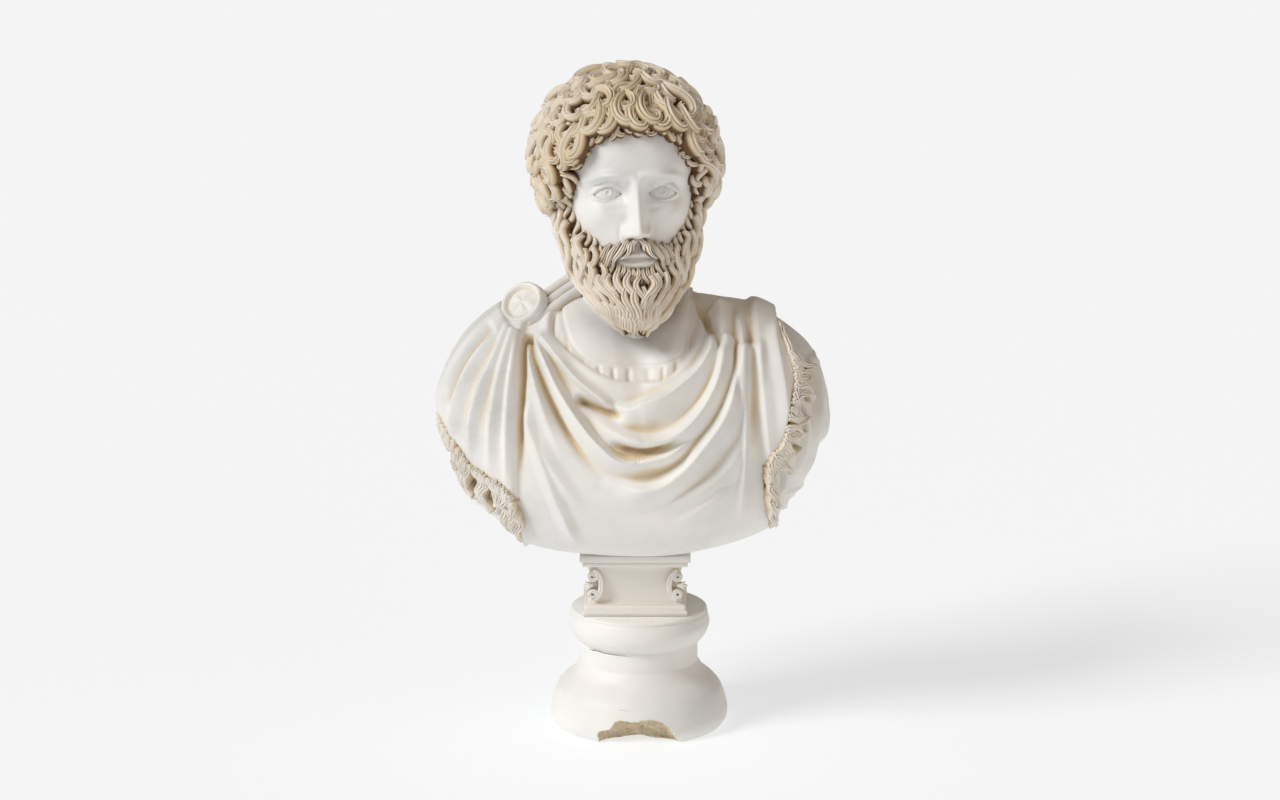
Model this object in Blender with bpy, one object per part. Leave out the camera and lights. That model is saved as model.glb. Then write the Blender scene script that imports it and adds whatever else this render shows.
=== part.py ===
"""Roman emperor bust in white marble: a carved bust with its index tablet, standing on a turned socle.

Metres, +Z up, the figure faces -Y, +X is to the right of someone looking at the face.
The origin is the centre of the socle's underside.
"""

import math

import bpy
import numpy as np

# Socle, a turned round base
SOCLE_HEIGHT = 0.141
FOOT_RADIUS = 0.104
FOOT_HEIGHT = 0.070
NECK_RADIUS = 0.069
DISC_RADIUS = 0.083
DISC_HEIGHT = 0.039
RIM_HEIGHT = 0.004
SOCLE_SIDES = 36

# Bite broken out of the foot, low at the front
BITE_WIDTH = 0.094
BITE_DEPTH = 0.040
BITE_HEIGHT = 0.032

# The bust rests on the socle across this gap
SEAT_GAP = 0.0003

# Index tablet under the bust
TABLET_WIDTH = 0.122
TABLET_HEIGHT = 0.073
TABLET_DEPTH = 0.104
TABLET_OFFSET_X = -0.0045
TABLET_HOLLOW = 0.011
SCROLL_BAND = 0.0055
SCROLL_RELIEF = 0.006

# The figure above the tablet. Its forms are laid out in its own units, FIGURE_UNITS of them
# to the height from the tablet's top to the top of the hair.
FIGURE_HEIGHT = 0.575
FIGURE_UNITS = 575.0

# Fineness of the carved surface
CARVING_GRAIN = 0.003
BODY_KEPT = 0.0165
HEAD_KEPT = 0.05

MARBLE = (0.86, 0.84, 0.80, 1.0)
SOCLE_MARBLE = (0.82, 0.81, 0.78, 1.0)
MARBLE_ROUGHNESS = 0.55

FIGURE_BASE_Z = SOCLE_HEIGHT + SEAT_GAP + TABLET_HEIGHT
UNIT = FIGURE_HEIGHT / FIGURE_UNITS


def units(size):
    """A size in figure units."""
    return size / UNIT


def clear_scene():
    for old in list(bpy.data.objects):
        bpy.data.objects.remove(old)


def smooth(low, high, value):
    """Eases from 0 at low to 1 at high."""
    t = np.clip((np.asarray(value, float) - low) / (high - low), 0, 1)
    return t * t * (3 - 2 * t)


def bell(distance, width):
    """A soft round bump, 1 at no distance and gone by about twice the width."""
    return np.exp(-((np.asarray(distance) / width) ** 2))


def curve(points, count, closed=False):
    """A smooth curve through the points, as count points."""
    points = np.asarray(points, float)
    last = len(points) if closed else len(points) - 1
    t = np.linspace(0, last, count, endpoint=not closed)
    index = np.minimum(t.astype(int), last - 1)
    f = (t - index)[:, None]

    def at(k):
        return points[k % len(points)] if closed else points[np.clip(k, 0, len(points) - 1)]

    a, b, c, d = at(index - 1), at(index), at(index + 1), at(index + 2)
    return 0.5 * (2 * b + (c - a) * f + (2 * a - 5 * b + 4 * c - d) * f**2
                  + (3 * b - a - 3 * c + d) * f**3)


def table(value, rows):
    """Reads smoothly between rows of (place, value)."""
    places, values = zip(*rows)
    dense = curve(list(zip(places, values)), 12 * len(rows))
    return np.interp(value, dense[:, 0], dense[:, 1])


def grid_shell(grid, wrap):
    """A closed shell over rows of points, which wrap round. The first and last row each close to a fan."""
    rows, columns = grid.shape[:2]
    points = list(map(tuple, grid.reshape(-1, 3)))
    faces = []
    across = columns if wrap else columns - 1
    for i in range(rows - 1):
        for j in range(across):
            k = (j + 1) % columns
            faces.append((i * columns + j, i * columns + k, (i + 1) * columns + k, (i + 1) * columns + j))
    for row, flip in ((0, True), (rows - 1, False)):
        centre = len(points)
        points.append(tuple(grid[row].mean(0)))
        for j in range(across):
            a, b = row * columns + j, row * columns + (j + 1) % columns
            faces.append((b, a, centre) if flip else (a, b, centre))
    return points, faces


def turned_outward(points, faces):
    """The same closed shell with its faces turned to face out."""
    at = np.asarray(points, float)
    at = at - at.mean(0)
    fans = np.array([(face[0], face[k], face[k + 1]) for face in faces for k in range(1, len(face) - 1)])
    a, b, c = at[fans[:, 0]], at[fans[:, 1]], at[fans[:, 2]]
    volume = np.sum(a * np.cross(b, c))
    return points, faces if volume > 0 else [tuple(reversed(face)) for face in faces]


class Stone:
    """Gathers overlapping closed shells, in figure units, that are carved from one block."""

    def __init__(self):
        self.points, self.faces = [], []

    def add(self, shell):
        start = len(self.points)
        points, faces = turned_outward(*shell)
        self.points += [tuple(p) for p in points]
        self.faces += [tuple(start + i for i in face) for face in faces]

    def to_object(self, name):
        mesh = bpy.data.meshes.new(name)
        placed = np.array(self.points) * UNIT + (0, 0, FIGURE_BASE_Z)
        mesh.from_pydata([tuple(p) for p in placed], [], self.faces)
        mesh.update()
        made = bpy.data.objects.new(name, mesh)
        bpy.context.scene.collection.objects.link(made)
        return made


# Torso

# Outline of the draped torso seen from the front, (x, z) in figure units, from the neck leftwards
OUTLINE = [
    (0, 284), (-40, 300), (-75, 306), (-108, 297), (-140, 284), (-167, 270), (-190, 254), (-206, 234),
    (-217, 212), (-223, 190), (-228, 168), (-232, 148), (-226, 126), (-217, 103), (-210, 80), (-200, 59),
    (-183, 41), (-159, 27), (-131, 15), (-93, 8), (-54, 5), (-18, 3), (22, 3), (53, 6), (86, 12),
    (121, 20), (152, 31), (175, 44), (190, 65), (202, 93), (211, 120), (222, 147), (225, 172),
    (220, 198), (212, 222), (200, 243), (182, 260), (160, 274), (136, 286), (110, 291), (84, 297),
    (56, 311), (28, 300),
]
TORSO_CENTRE = (0.0, 130.0)
CHEST_FRONT = -0.118
BACK_DEPTH = 0.086
SHELL_THICKNESS = 0.046
STRUT_HALF_WIDTH = 0.034
STRUT_BACK = 0.04
HOLLOW_TOP = 0.196
RIM_SHARE = 0.925


def outline_reach(angle):
    """Distance from the torso's centre to its outline, at each angle of the front view."""
    loop = curve(OUTLINE, 720, closed=True) - np.array(TORSO_CENTRE)
    angles, reach = np.arctan2(loop[:, 1], loop[:, 0]), np.hypot(loop[:, 0], loop[:, 1])
    order = np.argsort(angles)
    return np.interp(angle, angles[order], reach[order], period=2 * math.pi)


def torso_edge(angle):
    """(depth of the outline's edge, how square the front is there) at each angle of the front view."""
    low = smooth(0.2, 0.95, -np.sin(angle))
    high = smooth(0.2, 0.9, np.sin(angle))
    return 4 - 50 * low + 12 * high, 2.5 + 0.3 * low - 0.4 * high


def torso_front(x, z):
    """Depth of the undraped front at (x, z)."""
    dx, dz = x - TORSO_CENTRE[0], z - TORSO_CENTRE[1]
    angle = np.arctan2(dz, dx)
    share = np.minimum(np.hypot(dx, dz) / outline_reach(angle), 1)
    edge, square = torso_edge(angle)
    return units(CHEST_FRONT) + (edge - units(CHEST_FRONT)) * (1 - (1 - share**square) ** (1 / square))


def torso_back(x, z, share, edge):
    """Depth of the back: shoulders and upper back whole, hollowed out below on both sides of a strut."""
    whole = units(BACK_DEPTH) + (edge - units(BACK_DEPTH)) * (1 - (1 - share**2.6) ** (1 / 2.6))
    strut = smooth(units(STRUT_HALF_WIDTH) + 16, units(STRUT_HALF_WIDTH) - 4, abs(x - units(TABLET_OFFSET_X)))
    lower = smooth(units(HOLLOW_TOP) + 22, units(HOLLOW_TOP) - 22, z + 0.12 * abs(x))
    inset = torso_front(TORSO_CENTRE[0] + (x - TORSO_CENTRE[0]) / RIM_SHARE,
                        TORSO_CENTRE[1] + (z - TORSO_CENTRE[1]) / RIM_SHARE)
    shell = inset + units(SHELL_THICKNESS)
    strut_depth = units(STRUT_BACK) + (whole - units(STRUT_BACK)) * smooth(60, units(HOLLOW_TOP), z)
    carved = shell + (strut_depth - shell) * strut
    return np.minimum(whole + (carved - whole) * lower, np.maximum(whole, edge))


# Lines of the drapery seen from the front, (x, z) in figure units, each in the order it runs

NECKLINE = [(-58, 334), (-78, 308), (-98, 288), (-101, 272), (-90, 259), (-69, 244), (-44, 229), (-16, 221),
            (12, 221), (37, 226), (58, 250), (69, 279), (68, 299), (52, 330)]
TUNIC_EDGE = [(-92, 300), (-78, 262), (-58, 245), (-39, 242), (-10, 239), (18, 240), (41, 246), (54, 258),
              (60, 300)]
LEFT_FLAP = [(-124, 305), (-132, 268), (-136, 249), (-139, 213), (-141, 163), (-142, 104), (-140, 62),
             (-132, 31), (-124, -20)]
RIGHT_FLAP = [(124, 310), (130, 283), (133, 254), (137, 219), (141, 175), (146, 127), (153, 77), (158, 47),
              (166, -10)]
RIGHT_FRINGE = [(150, 300), (160, 266), (175, 230), (176, 204), (170, 182), (165, 152), (157, 138),
                (150, 128), (147, 104), (151, 66), (157, 30), (166, -10)]
LEFT_FRINGE = [(-262, 190), (-232, 168), (-218, 152), (-207, 140), (-193, 119), (-180, 110), (-167, 101),
               (-154, 92), (-143, 78), (-139, 50), (-133, 20), (-126, -15)]

# Folds: line, height, width to the right and to the left of its run, how soon it fades at either end
FOLDS = [
    ([(-150, 276), (-177, 257), (-198, 233), (-214, 201), (-226, 163)], 8, 9, 12, 0.05, 0.1),
    ([(-148, 272), (-172, 248), (-193, 216), (-205, 180), (-211, 138)], 8, 8, 10, 0.05, 0.2),
    ([(-145, 268), (-160, 240), (-177, 206), (-188, 165), (-192, 120)], 8, 8, 10, 0.05, 0.3),
    ([(-140, 266), (-152, 236), (-161, 200), (-168, 150), (-170, 96)], 8, 8, 11, 0.05, 0.4),
    ([(-136, 266), (-143, 236), (-148, 190), (-150, 130), (-150, 70)], 5, 6, 6, 0.05, 0.4),
    ([(-128, 262), (-124, 236), (-115, 204), (-101, 165), (-84, 128)], 7, 9, 8, 0.05, 0.6),
    ([(-124, 269), (-107, 239), (-90, 208), (-69, 178), (-44, 150), (-19, 132), (13, 134), (37, 142),
      (58, 159), (76, 186)], 14, 22, 9, 0.1, 0.25),
    ([(-118, 268), (-96, 246), (-72, 222), (-44, 201), (-31, 189)], 8, 7, 12, 0.1, 0.2),
    ([(84, 290), (85, 266), (75, 241), (56, 221), (26, 204), (-5, 191), (-36, 186)], 15, 11, 30, 0.02, 0.25),
    ([(97, 270), (91, 231), (78, 200), (57, 174), (33, 158), (7, 155), (-27, 164), (-56, 180)],
     16, 12, 28, 0.05, 0.25),
    ([(118, 262), (111, 220), (96, 181), (77, 154), (51, 123), (26, 104), (1, 98), (-19, 100), (-44, 109)],
     14, 13, 34, 0.05, 0.3),
    ([(121, 160), (103, 123), (75, 99), (41, 83), (10, 72)], 7, 14, 26, 0.2, 0.5),
    ([(110, 108), (87, 86), (64, 68), (38, 52)], 4, 12, 18, 0.3, 0.4),
    ([(-135, 197), (-126, 167), (-114, 135), (-98, 88), (-83, 54), (-69, 18)], 5, 14, 12, 0.2, 0.2),
    ([(-124, 165), (-107, 131), (-84, 96), (-65, 71)], 4, 12, 14, 0.3, 0.4),
    ([(112, 292), (117, 265), (120, 220), (121, 176), (120, 117), (118, 40)], 8, 7, 8, 0.08, 0.3),
    ([(150, 272), (160, 227), (166, 184), (168, 137)], 5, 13, 9, 0.1, 0.4),
    ([(58, 318), (77, 292), (84, 268), (82, 246)], 8, 10, 8, 0.3, 0.3),
    ([(201, 236), (208, 206), (209, 172), (202, 128), (189, 78)], 6, 7, 8, 0.1, 0.2),
    ([(206, 190), (218, 176), (219, 150), (212, 122)], 5, 6, 7, 0.1, 0.3),
    ([(-196, 84), (-178, 74), (-162, 62)], 5, 6, 7, 0.2, 0.2),
]

# Drilled channels: line, depth, width, how soon it fades at either end
CHANNELS = [
    ([(-127, 267), (-119, 242), (-103, 204), (-84, 164), (-61, 130), (-32, 101)], 11, 4.5, 0.05, 0.5),
    ([(-131, 262), (-131, 240), (-134, 205), (-136, 160), (-136, 110)], 7, 4.0, 0.03, 0.3),
    ([(-74, 203), (-53, 193), (-31, 185), (-14, 181)], 13, 5.0, 0.2, 0.4),
    ([(-34, 153), (-14, 145), (8, 143), (38, 152), (52, 166)], 11, 4.5, 0.3, 0.4),
    ([(69, 299), (83, 276), (94, 250)], 14, 5.0, 0.05, 0.4),
    ([(-160, 262), (-184, 240), (-203, 208), (-216, 172)], 5, 3.5, 0.1, 0.2),
    ([(106, 286), (110, 250), (112, 205), (110, 170)], 6, 4.0, 0.05, 0.4),
    ([(127, 280), (128, 240), (131, 190), (135, 140)], 5, 4.0, 0.05, 0.4),
]

SHEET_STEP = 0.008
TUNIC_PLEAT = 0.018


def signed_gap(x, z, line):
    """(distance from a drawn line, positive on the left of its run, and the share of the way along it)."""
    line = curve(line, 7 * len(line))
    best = np.full(np.shape(x), 1e9)
    gap, along = best.copy(), 0 * best
    for i in range(len(line) - 1):
        run = line[i + 1] - line[i]
        fx, fz = x - line[i, 0], z - line[i, 1]
        t = np.clip((fx * run[0] + fz * run[1]) / (run @ run), 0, 1)
        fx, fz = fx - t * run[0], fz - t * run[1]
        distance = np.hypot(fx, fz)
        nearer = distance < best
        best = np.where(nearer, distance, best)
        gap = np.where(nearer, np.where(run[0] * fz - run[1] * fx < 0, -distance, distance), gap)
        along = np.where(nearer, (i + t) / (len(line) - 1), along)
    return gap, along


def fade_ends(along, start, end):
    return smooth(0, start, along) * smooth(1, 1 - end, along)


def drapery(x, z):
    """Height of the carved cloth over the plain torso."""
    folds = 0 * x
    for line, height, right, left, start, end in FOLDS:
        gap, along = signed_gap(x, z, line)
        t = np.clip(1 - abs(gap) / np.where(gap < 0, right, left), 0, 1)
        folds = np.maximum(folds, height * fade_ends(along, start, end) * t * t * (3 - 2 * t))
    for line, depth, width, start, end in CHANNELS:
        gap, along = signed_gap(x, z, line)
        folds = folds - depth * fade_ends(along, start, end) * bell(gap, width)

    neckline = signed_gap(x, z, NECKLINE)[0]
    skin = signed_gap(x, z, TUNIC_EDGE)[0]
    pleats = 2.4 * abs(np.sin(math.pi * (x + 10) / units(TUNIC_PLEAT)))
    tunic = pleats - 9 + (-4 - pleats) * smooth(-1.5, 1.5, skin)
    cloth = folds + 3 * bell(neckline + 5, 5)
    relief = cloth + (tunic - cloth) * smooth(-2, 2, neckline)

    left = signed_gap(x, z, LEFT_FLAP)[0]
    right = signed_gap(x, z, RIGHT_FLAP)[0]
    relief += units(SHEET_STEP) * smooth(3, -3, left) + units(SHEET_STEP) * smooth(-3, 3, right)
    under_right = smooth(-2.5, 2.5, signed_gap(x, z, RIGHT_FRINGE)[0])
    under_left = smooth(2.5, -2.5, signed_gap(x, z, LEFT_FRINGE)[0])
    return relief - (units(SHEET_STEP) + 4) * (under_right + under_left)


def torso_shell(rings, spokes):
    """The draped torso, front and back."""
    angle = np.linspace(2 * math.pi, 0, spokes, endpoint=False)
    reach = outline_reach(angle)
    edge, _ = torso_edge(angle)
    share = np.sin(np.linspace(0.01, 1, rings) * math.pi / 2) ** 0.8
    front = share[:, None] * np.ones(spokes)
    back = front[-2::-1]
    both = np.vstack([front, back])
    x = TORSO_CENTRE[0] + both * reach * np.cos(angle)
    z = TORSO_CENTRE[1] + both * reach * np.sin(angle)
    y = np.vstack([torso_front(x[:rings], z[:rings]),
                   torso_back(x[rings:], z[rings:], back, edge)])
    grid = np.stack([x, y, z], 2)
    along = np.roll(grid, -1, 1) - np.roll(grid, 1, 1)
    normal = np.cross(along, np.gradient(grid, axis=0))
    normal /= np.linalg.norm(normal, axis=2)[..., None] + 1e-9
    relief = np.zeros(x.shape)
    relief[:rings] = drapery(x[:rings], z[:rings])
    start = 0.9 - 0.35 * smooth(0.2, 0.9, np.sin(angle))
    relief[rings:] = relief[rings - 1] * smooth(start, 1, back)
    return grid_shell(grid + normal * relief[..., None], wrap=True)


def strut_foot():
    """The block at the foot of the strut, through which the torso stands on its tablet."""
    rows = [(-4, 44, -44, 44), (7, 46, -46, 44), (15, 46, -58, 42), (44, 36, -62, 38)]
    sides = ((-1, 0), (1, 0), (1, 1), (-1, 1))
    grid = np.array([[(s * half + units(TABLET_OFFSET_X), back if far else front, z) for s, far in sides]
                     for z, half, front, back in rows])
    return grid_shell(grid, wrap=True)


def on_torso(x, z, lift):
    """A point on the draped front, raised by lift along the way it faces, and the way it faces."""
    x, z = np.asarray(x, float), np.asarray(z, float)
    y = torso_front(x, z)
    slope_x = (torso_front(x + 2, z) - torso_front(x - 2, z)) / 4
    slope_z = (torso_front(x, z + 2) - torso_front(x, z - 2)) / 4
    way = np.stack([slope_x, -np.ones(x.shape), slope_z], -1)
    way /= np.linalg.norm(way, axis=-1)[..., None]
    return np.stack([x, y, z], -1) + way * np.asarray(lift)[..., None], way


def band(path, up, half_width, height, sink, strands=1, across=7):
    """A closed strip along a path, domed above in side-by-side strands and flat beneath."""
    path, up = np.asarray(path, float), np.asarray(up, float)
    run = np.gradient(path, axis=0)
    run /= np.linalg.norm(run, axis=1)[:, None]
    side = np.cross(run, up)
    side /= np.linalg.norm(side, axis=1)[:, None]
    up = np.cross(side, run)
    half_width = np.broadcast_to(half_width, len(path))[:, None, None]
    height = np.broadcast_to(height, len(path))[:, None, None]
    u = np.linspace(-1, 1, across)
    dome = np.clip(1 - u**2, 0, 1) ** 0.45
    if strands > 1:
        dome = dome * (0.5 + 0.5 * abs(np.sin(strands * math.pi * (u + 1) / 2)))
    top = path[:, None] + side[:, None] * half_width * u[:, None] + up[:, None] * height * dome[:, None]
    low = np.array([0.7, -0.7])
    under = path[:, None] + side[:, None] * half_width * low[:, None] - up[:, None] * sink
    return grid_shell(np.concatenate([top, under], 1), wrap=True)


def scatter(*seed):
    """An even-handed number from 0 to 1 that is always the same for the same seed."""
    return math.sin(sum((i + 1.7) * 12.9898 * (k + 1) for k, i in enumerate(seed))) * 43758.5453 % 1


# Head, in its own frame: centre of the eye line at the origin, facing -Y

HEAD_PLACE = (-14.0, -8.0, 427.0)
HEAD_YAW = math.radians(8)
HEAD_TILT = math.radians(-4.5)

# Skull: height, front, back, half width
SKULL = [
    (-125, -58, -24, 7), (-116, -73, 0, 29), (-100, -79, 30, 46), (-80, -80, 52, 57), (-60, -81, 66, 63),
    (-40, -82, 80, 68), (-20, -83, 90, 72), (0, -84, 95, 75), (30, -89, 98, 78), (50, -86, 97, 76),
    (70, -79, 92, 70), (90, -64, 80, 60), (105, -40, 62, 44), (116, 4, 16, 5),
]
NOSE_RIDGE = [(-57, 0), (-51, 3), (-47, 18), (-42, 26), (-35, 24), (-18, 16), (0, 9.5), (12, 6), (26, 0)]
NOSE_WIDTH = [(-57, 12), (-44, 12), (-33, 10), (-18, 8.5), (0, 7), (26, 9)]
EYE_PLACE = (31.5, -60.0, 0.0)
EYE_RADIUS = 0.014


def from_head(local):
    """Places points of the head's own frame on the figure."""
    x, y, z = np.moveaxis(np.asarray(local, float), -1, 0)
    c, s = math.cos(HEAD_TILT), math.sin(HEAD_TILT)
    y, z = c * y - s * z, s * y + c * z
    c, s = math.cos(HEAD_YAW), math.sin(HEAD_YAW)
    x, y = c * x - s * y, s * x + c * y
    return np.stack([x, y, z], -1) + np.array(HEAD_PLACE)


def turn_to_head(way):
    """Turns directions of the head's own frame to the figure's."""
    return from_head(way) - np.array(HEAD_PLACE)


def blob(x, z, wide, high):
    return np.exp(-(x / wide) ** 2 - (z / high) ** 2)


def face_relief(x, z):
    """Depth of the calm, regular features over the plain front of the head."""
    side = abs(x)
    nose = table(z, NOSE_RIDGE) * np.exp(-(side / table(z, NOSE_WIDTH)) ** 2.6)
    relief = np.maximum(nose, 0) + 10 * blob(side - 13.5, z + 42, 6.5, 7)
    relief += 5.5 * blob(side - 29, z - 23 + 0.006 * (side - 26) ** 2, 25, 6.5)
    relief -= 11 * blob(side - 31, z - 1, 17, 12)
    relief += 4.5 * blob(side - 46, z + 22, 18, 15) - 4 * blob(side - 42, z + 56, 16, 18)
    relief += 8 * blob(x, z + 71, 27, 20) + 7 * blob(x, z + 107, 19, 13)
    relief += 3.8 * blob(x, z + 66.5, 17, 3.4) + 5.4 * blob(x, z + 78, 14, 4.6)
    relief -= 4.5 * blob(x, z + 72, 24, 2.2) + 3.5 * blob(x, z + 87, 17, 5)
    return relief


def head_front(x, z):
    """Depth of the face at (x, z) of the head's own frame."""
    front, back, half = (table(z, [(row[0], row[k]) for row in SKULL]) for k in (1, 2, 3))
    middle = (front + back) / 2
    plain = middle - (middle - front) * np.clip(1 - abs(x / half) ** 2.3, 0, 1) ** (1 / 2.3)
    return plain - face_relief(x, z)


def head_shell(rings, spokes):
    z = np.linspace(SKULL[0][0], SKULL[-1][0], rings)[:, None]
    angle = np.linspace(0, 2 * math.pi, spokes, endpoint=False)[None, :]
    front, back, half = (table(z, [(row[0], row[k]) for row in SKULL]) for k in (1, 2, 3))
    middle = (front + back) / 2
    c, s = np.cos(angle), np.sin(angle)
    x = half * np.sign(s) * abs(s) ** (2 / 2.3)
    y = middle + np.where(c > 0, front - middle, middle - back) * np.sign(c) * abs(c) ** (2 / 2.3)
    y = y - face_relief(x, z) * smooth(0, 0.4, c)
    return grid_shell(from_head(np.stack(np.broadcast_arrays(x, y, z), -1)), wrap=True)


def ball(centre, radii, rings=14, spokes=24):
    polar = np.linspace(0.05, math.pi - 0.05, rings)[:, None]
    angle = np.linspace(0, 2 * math.pi, spokes, endpoint=False)[None, :]
    around = np.stack(np.broadcast_arrays(np.sin(polar) * np.cos(angle), np.sin(polar) * np.sin(angle),
                                          np.cos(polar)), -1)
    return grid_shell(np.array(centre) + around * np.array(radii), wrap=True)


def placed(shell):
    points, faces = shell
    return from_head(points), faces


def add_eyes(stone, sections):
    for side in (-1, 1):
        centre = np.array(EYE_PLACE) * (side, 1, 1)
        stone.add(placed(ball(centre, [units(EYE_RADIUS)] * 3)))
        for rise, thick in ((9.0, 3.4), (-7.5, 2.8)):
            t = np.linspace(-1, 1, sections)
            x = side * (EYE_PLACE[0] + 15.5 * t)
            z = rise * (1 - t**2) - 1 + 0 * t
            y = centre[1] - np.sqrt(np.maximum(units(EYE_RADIUS)**2 - (x - centre[0])**2 - z**2, 9)) - 0.6
            path = np.stack([x, y, z], 1)
            out = np.stack([0.1 * side * t, -np.ones(sections), 0.12 * np.sign(rise) + 0 * t], 1)
            stone.add(placed(band(path, out, thick, thick, 4)))


def neck_shell():
    rows = [(200, -4, 6, 98, 68), (225, -5, 8, 84, 68), (250, -6, 12, 70, 66), (275, -8, 11, 62, 62),
            (300, -9, 8, 58, 61), (330, -12, 5, 57, 62), (365, -12, 5, 55, 62)]
    angle = np.linspace(0, 2 * math.pi, 48, endpoint=False)
    z = np.linspace(200, 365, 24)
    cx, cy, rx, ry = (table(z, [(row[0], row[k]) for row in rows])[:, None] for k in (1, 2, 3, 4))
    grid = np.stack(np.broadcast_arrays(cx + rx * np.cos(angle), cy + ry * np.sin(angle), z[:, None]), -1)
    return grid_shell(grid, wrap=True)


# Hair: a thick cap with curls laid over it

CAP_CENTRE = np.array([0.0, 8.0, 28.0])
CAP_RADII = np.array([101.0, 112.0, 108.0])
HAIRLINE = [(0, 76), (18, 74), (34, 60), (50, 27), (62, -6), (90, -32), (120, -46), (150, -56), (180, -58)]
CURL_SPACING = 0.027
CURL_HALF_WIDTH = 0.007
CURL_HEIGHT = 0.013
CURL_LENGTH = 0.062
CURL_STRANDS = 1
LOCK_FACES = 3


def cap_point(way, lift=0.0):
    """A point of the hair's surface in the direction of a unit vector."""
    return CAP_CENTRE + (CAP_RADII + np.asarray(lift)[..., None]) * way


def hairline_polar(azimuth):
    z = table(abs(np.degrees(azimuth)), HAIRLINE)
    return np.arccos(np.clip((z - CAP_CENTRE[2]) / CAP_RADII[2], -1, 1))


def cap_way(azimuth, polar):
    return np.stack(np.broadcast_arrays(np.sin(polar) * np.sin(azimuth), -np.sin(polar) * np.cos(azimuth),
                                        np.cos(polar)), -1)


def cap_shell():
    azimuth = np.linspace(-math.pi, math.pi, 64, endpoint=False)
    share = np.linspace(0.02, 1, 22)[:, None]
    polar = share * hairline_polar(azimuth)
    grid = cap_point(cap_way(azimuth, polar), -4 - 15 * smooth(0.78, 1, share) * np.ones(64))
    inner = grid[-1:] * (0.72, 0.72, 1)
    return grid_shell(from_head(np.concatenate([grid, inner])), wrap=True)


def curl(way, heading, turn, length, half_width, height, lift, sections=8):
    """A hooked or S-shaped lock lying on the hair's surface about a direction of the head."""
    down = np.cross(np.cross(way, (0, 0, 1.0)), way)
    down /= -np.linalg.norm(down)
    across = np.cross(down, way)
    t = np.linspace(0, 1, sections)
    bearing = heading + turn[0] * t + turn[1] * t**2
    a, b = np.cumsum(np.cos(bearing)), np.cumsum(np.sin(bearing))
    step = length / (sections - 1)
    a, b = (a - a.mean()) * step, (b - b.mean()) * step
    ways = way + (a[:, None] * down + b[:, None] * across) / 106
    ways /= np.linalg.norm(ways, axis=1)[:, None]
    path = cap_point(ways, lift - 2 + 5 * np.sin(math.pi * t) ** 0.8)
    taper = 1 - 0.55 * t**2.5
    return band(from_head(path), turn_to_head(ways / CAP_RADII), half_width * taper,
                height * (0.75 + 0.25 * taper), 12, CURL_STRANDS, LOCK_FACES)


def add_hair(stone):
    stone.add(cap_shell())
    total = int(4 * math.pi * 106**2 / (units(CURL_SPACING)**2 * 0.9))
    for i in range(total):
        polar = math.acos(1 - 2 * (i + 0.5) / total)
        azimuth = (i * 2.399963 + math.pi) % (2 * math.pi) - math.pi
        if polar > hairline_polar(azimuth) - 0.13:
            continue
        hand = 1 if scatter(i, 1) > 0.5 else -1
        heading = (scatter(i, 2) - 0.5) * 1.6 - hand * 0.6
        turn = (hand * 0.6, hand * 2.6) if scatter(i, 3) > 0.55 else (hand * 3.6, -hand * 4.6)
        size = 0.88 + 0.28 * scatter(i, 4)
        stone.add(curl(cap_way(azimuth, polar), heading, turn, units(CURL_LENGTH) * size,
                       units(CURL_HALF_WIDTH) * size, units(CURL_HEIGHT) * size, 4 * scatter(i, 5)))
    for k in range(-7, 8):
        azimuth = math.radians(12.5 * k)
        polar = hairline_polar(azimuth) - 0.11 - 0.05 * (k % 2)
        hand = 1 if k < 0 or k % 3 == 0 else -1
        stone.add(curl(cap_way(azimuth, polar), -0.5 * hand, (hand * 0.6, hand * 3.2), units(CURL_LENGTH),
                       units(CURL_HALF_WIDTH) * 1.1, units(CURL_HEIGHT) * 1.1, -3.0))


# Beard: height, front, half width and middle of the mass that its locks lie on

BEARD = [
    (-152, -72, 9, -52), (-144, -84, 22, -50), (-130, -92, 36, -44), (-115, -95, 47, -36),
    (-100, -94, 57, -28), (-80, -89, 66, -18), (-60, -85, 72, -10), (-30, -80, 78, -2), (20, -72, 80, 4),
]
BEARD_EDGE = [(0, -88), (12, -87), (22, -80), (32, -67), (42, -54), (56, -34), (72, -8), (88, 12), (105, 14)]
BEARD_REACH = math.radians(100)
BEARD_LOCK_WIDTH = 0.0072
BEARD_LOCK_HEIGHT = 0.01


def beard_point(azimuth, z, lift=0.0):
    front, half, middle = (table(z, [(row[0], row[k]) for row in BEARD]) for k in (1, 2, 3))
    x = (half + lift) * np.sin(azimuth)
    y = middle - (middle - front + lift) * np.cos(azimuth)
    return np.stack(np.broadcast_arrays(x, y, z), -1)


def beard_shell():
    azimuth = np.linspace(-BEARD_REACH, BEARD_REACH, 41)
    top = table(abs(np.degrees(azimuth)), BEARD_EDGE)
    share = np.linspace(0, 1, 20)[:, None]
    z = top + (BEARD[0][0] + 6 - top) * share
    lift = -9 + 7 * smooth(0, 0.15, share) + 0 * z
    outer = beard_point(azimuth, z, lift)
    inner = outer * (0.72, 1, 1) + (0, 22, 0)
    return grid_shell(from_head(np.concatenate([outer, inner[:, ::-1]], 1)), wrap=True)


def beard_lock(azimuth, z, length, sway, lean, half_width, height, lift, sections=6):
    """A wavy lock that hangs from a place on the beard and lifts to a pointed tip."""
    t = np.linspace(0, 1, sections)
    reach = 70.0
    bearing = azimuth + (lean * length * t + sway * np.sin(2 * math.pi * t)) / reach
    path = beard_point(bearing, z - length * t, lift + 2.5 * np.sin(math.pi * t) - 1.5 * (1 - t))
    away = path - beard_point(bearing, z - length * t, -20)
    taper = (1 - t**2.2) * 0.8 + 0.2
    return band(from_head(path), turn_to_head(away), half_width * taper * (0.65 + 0.35 * smooth(0, 0.3, t)),
                height * taper, 9, 1, LOCK_FACES)


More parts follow.
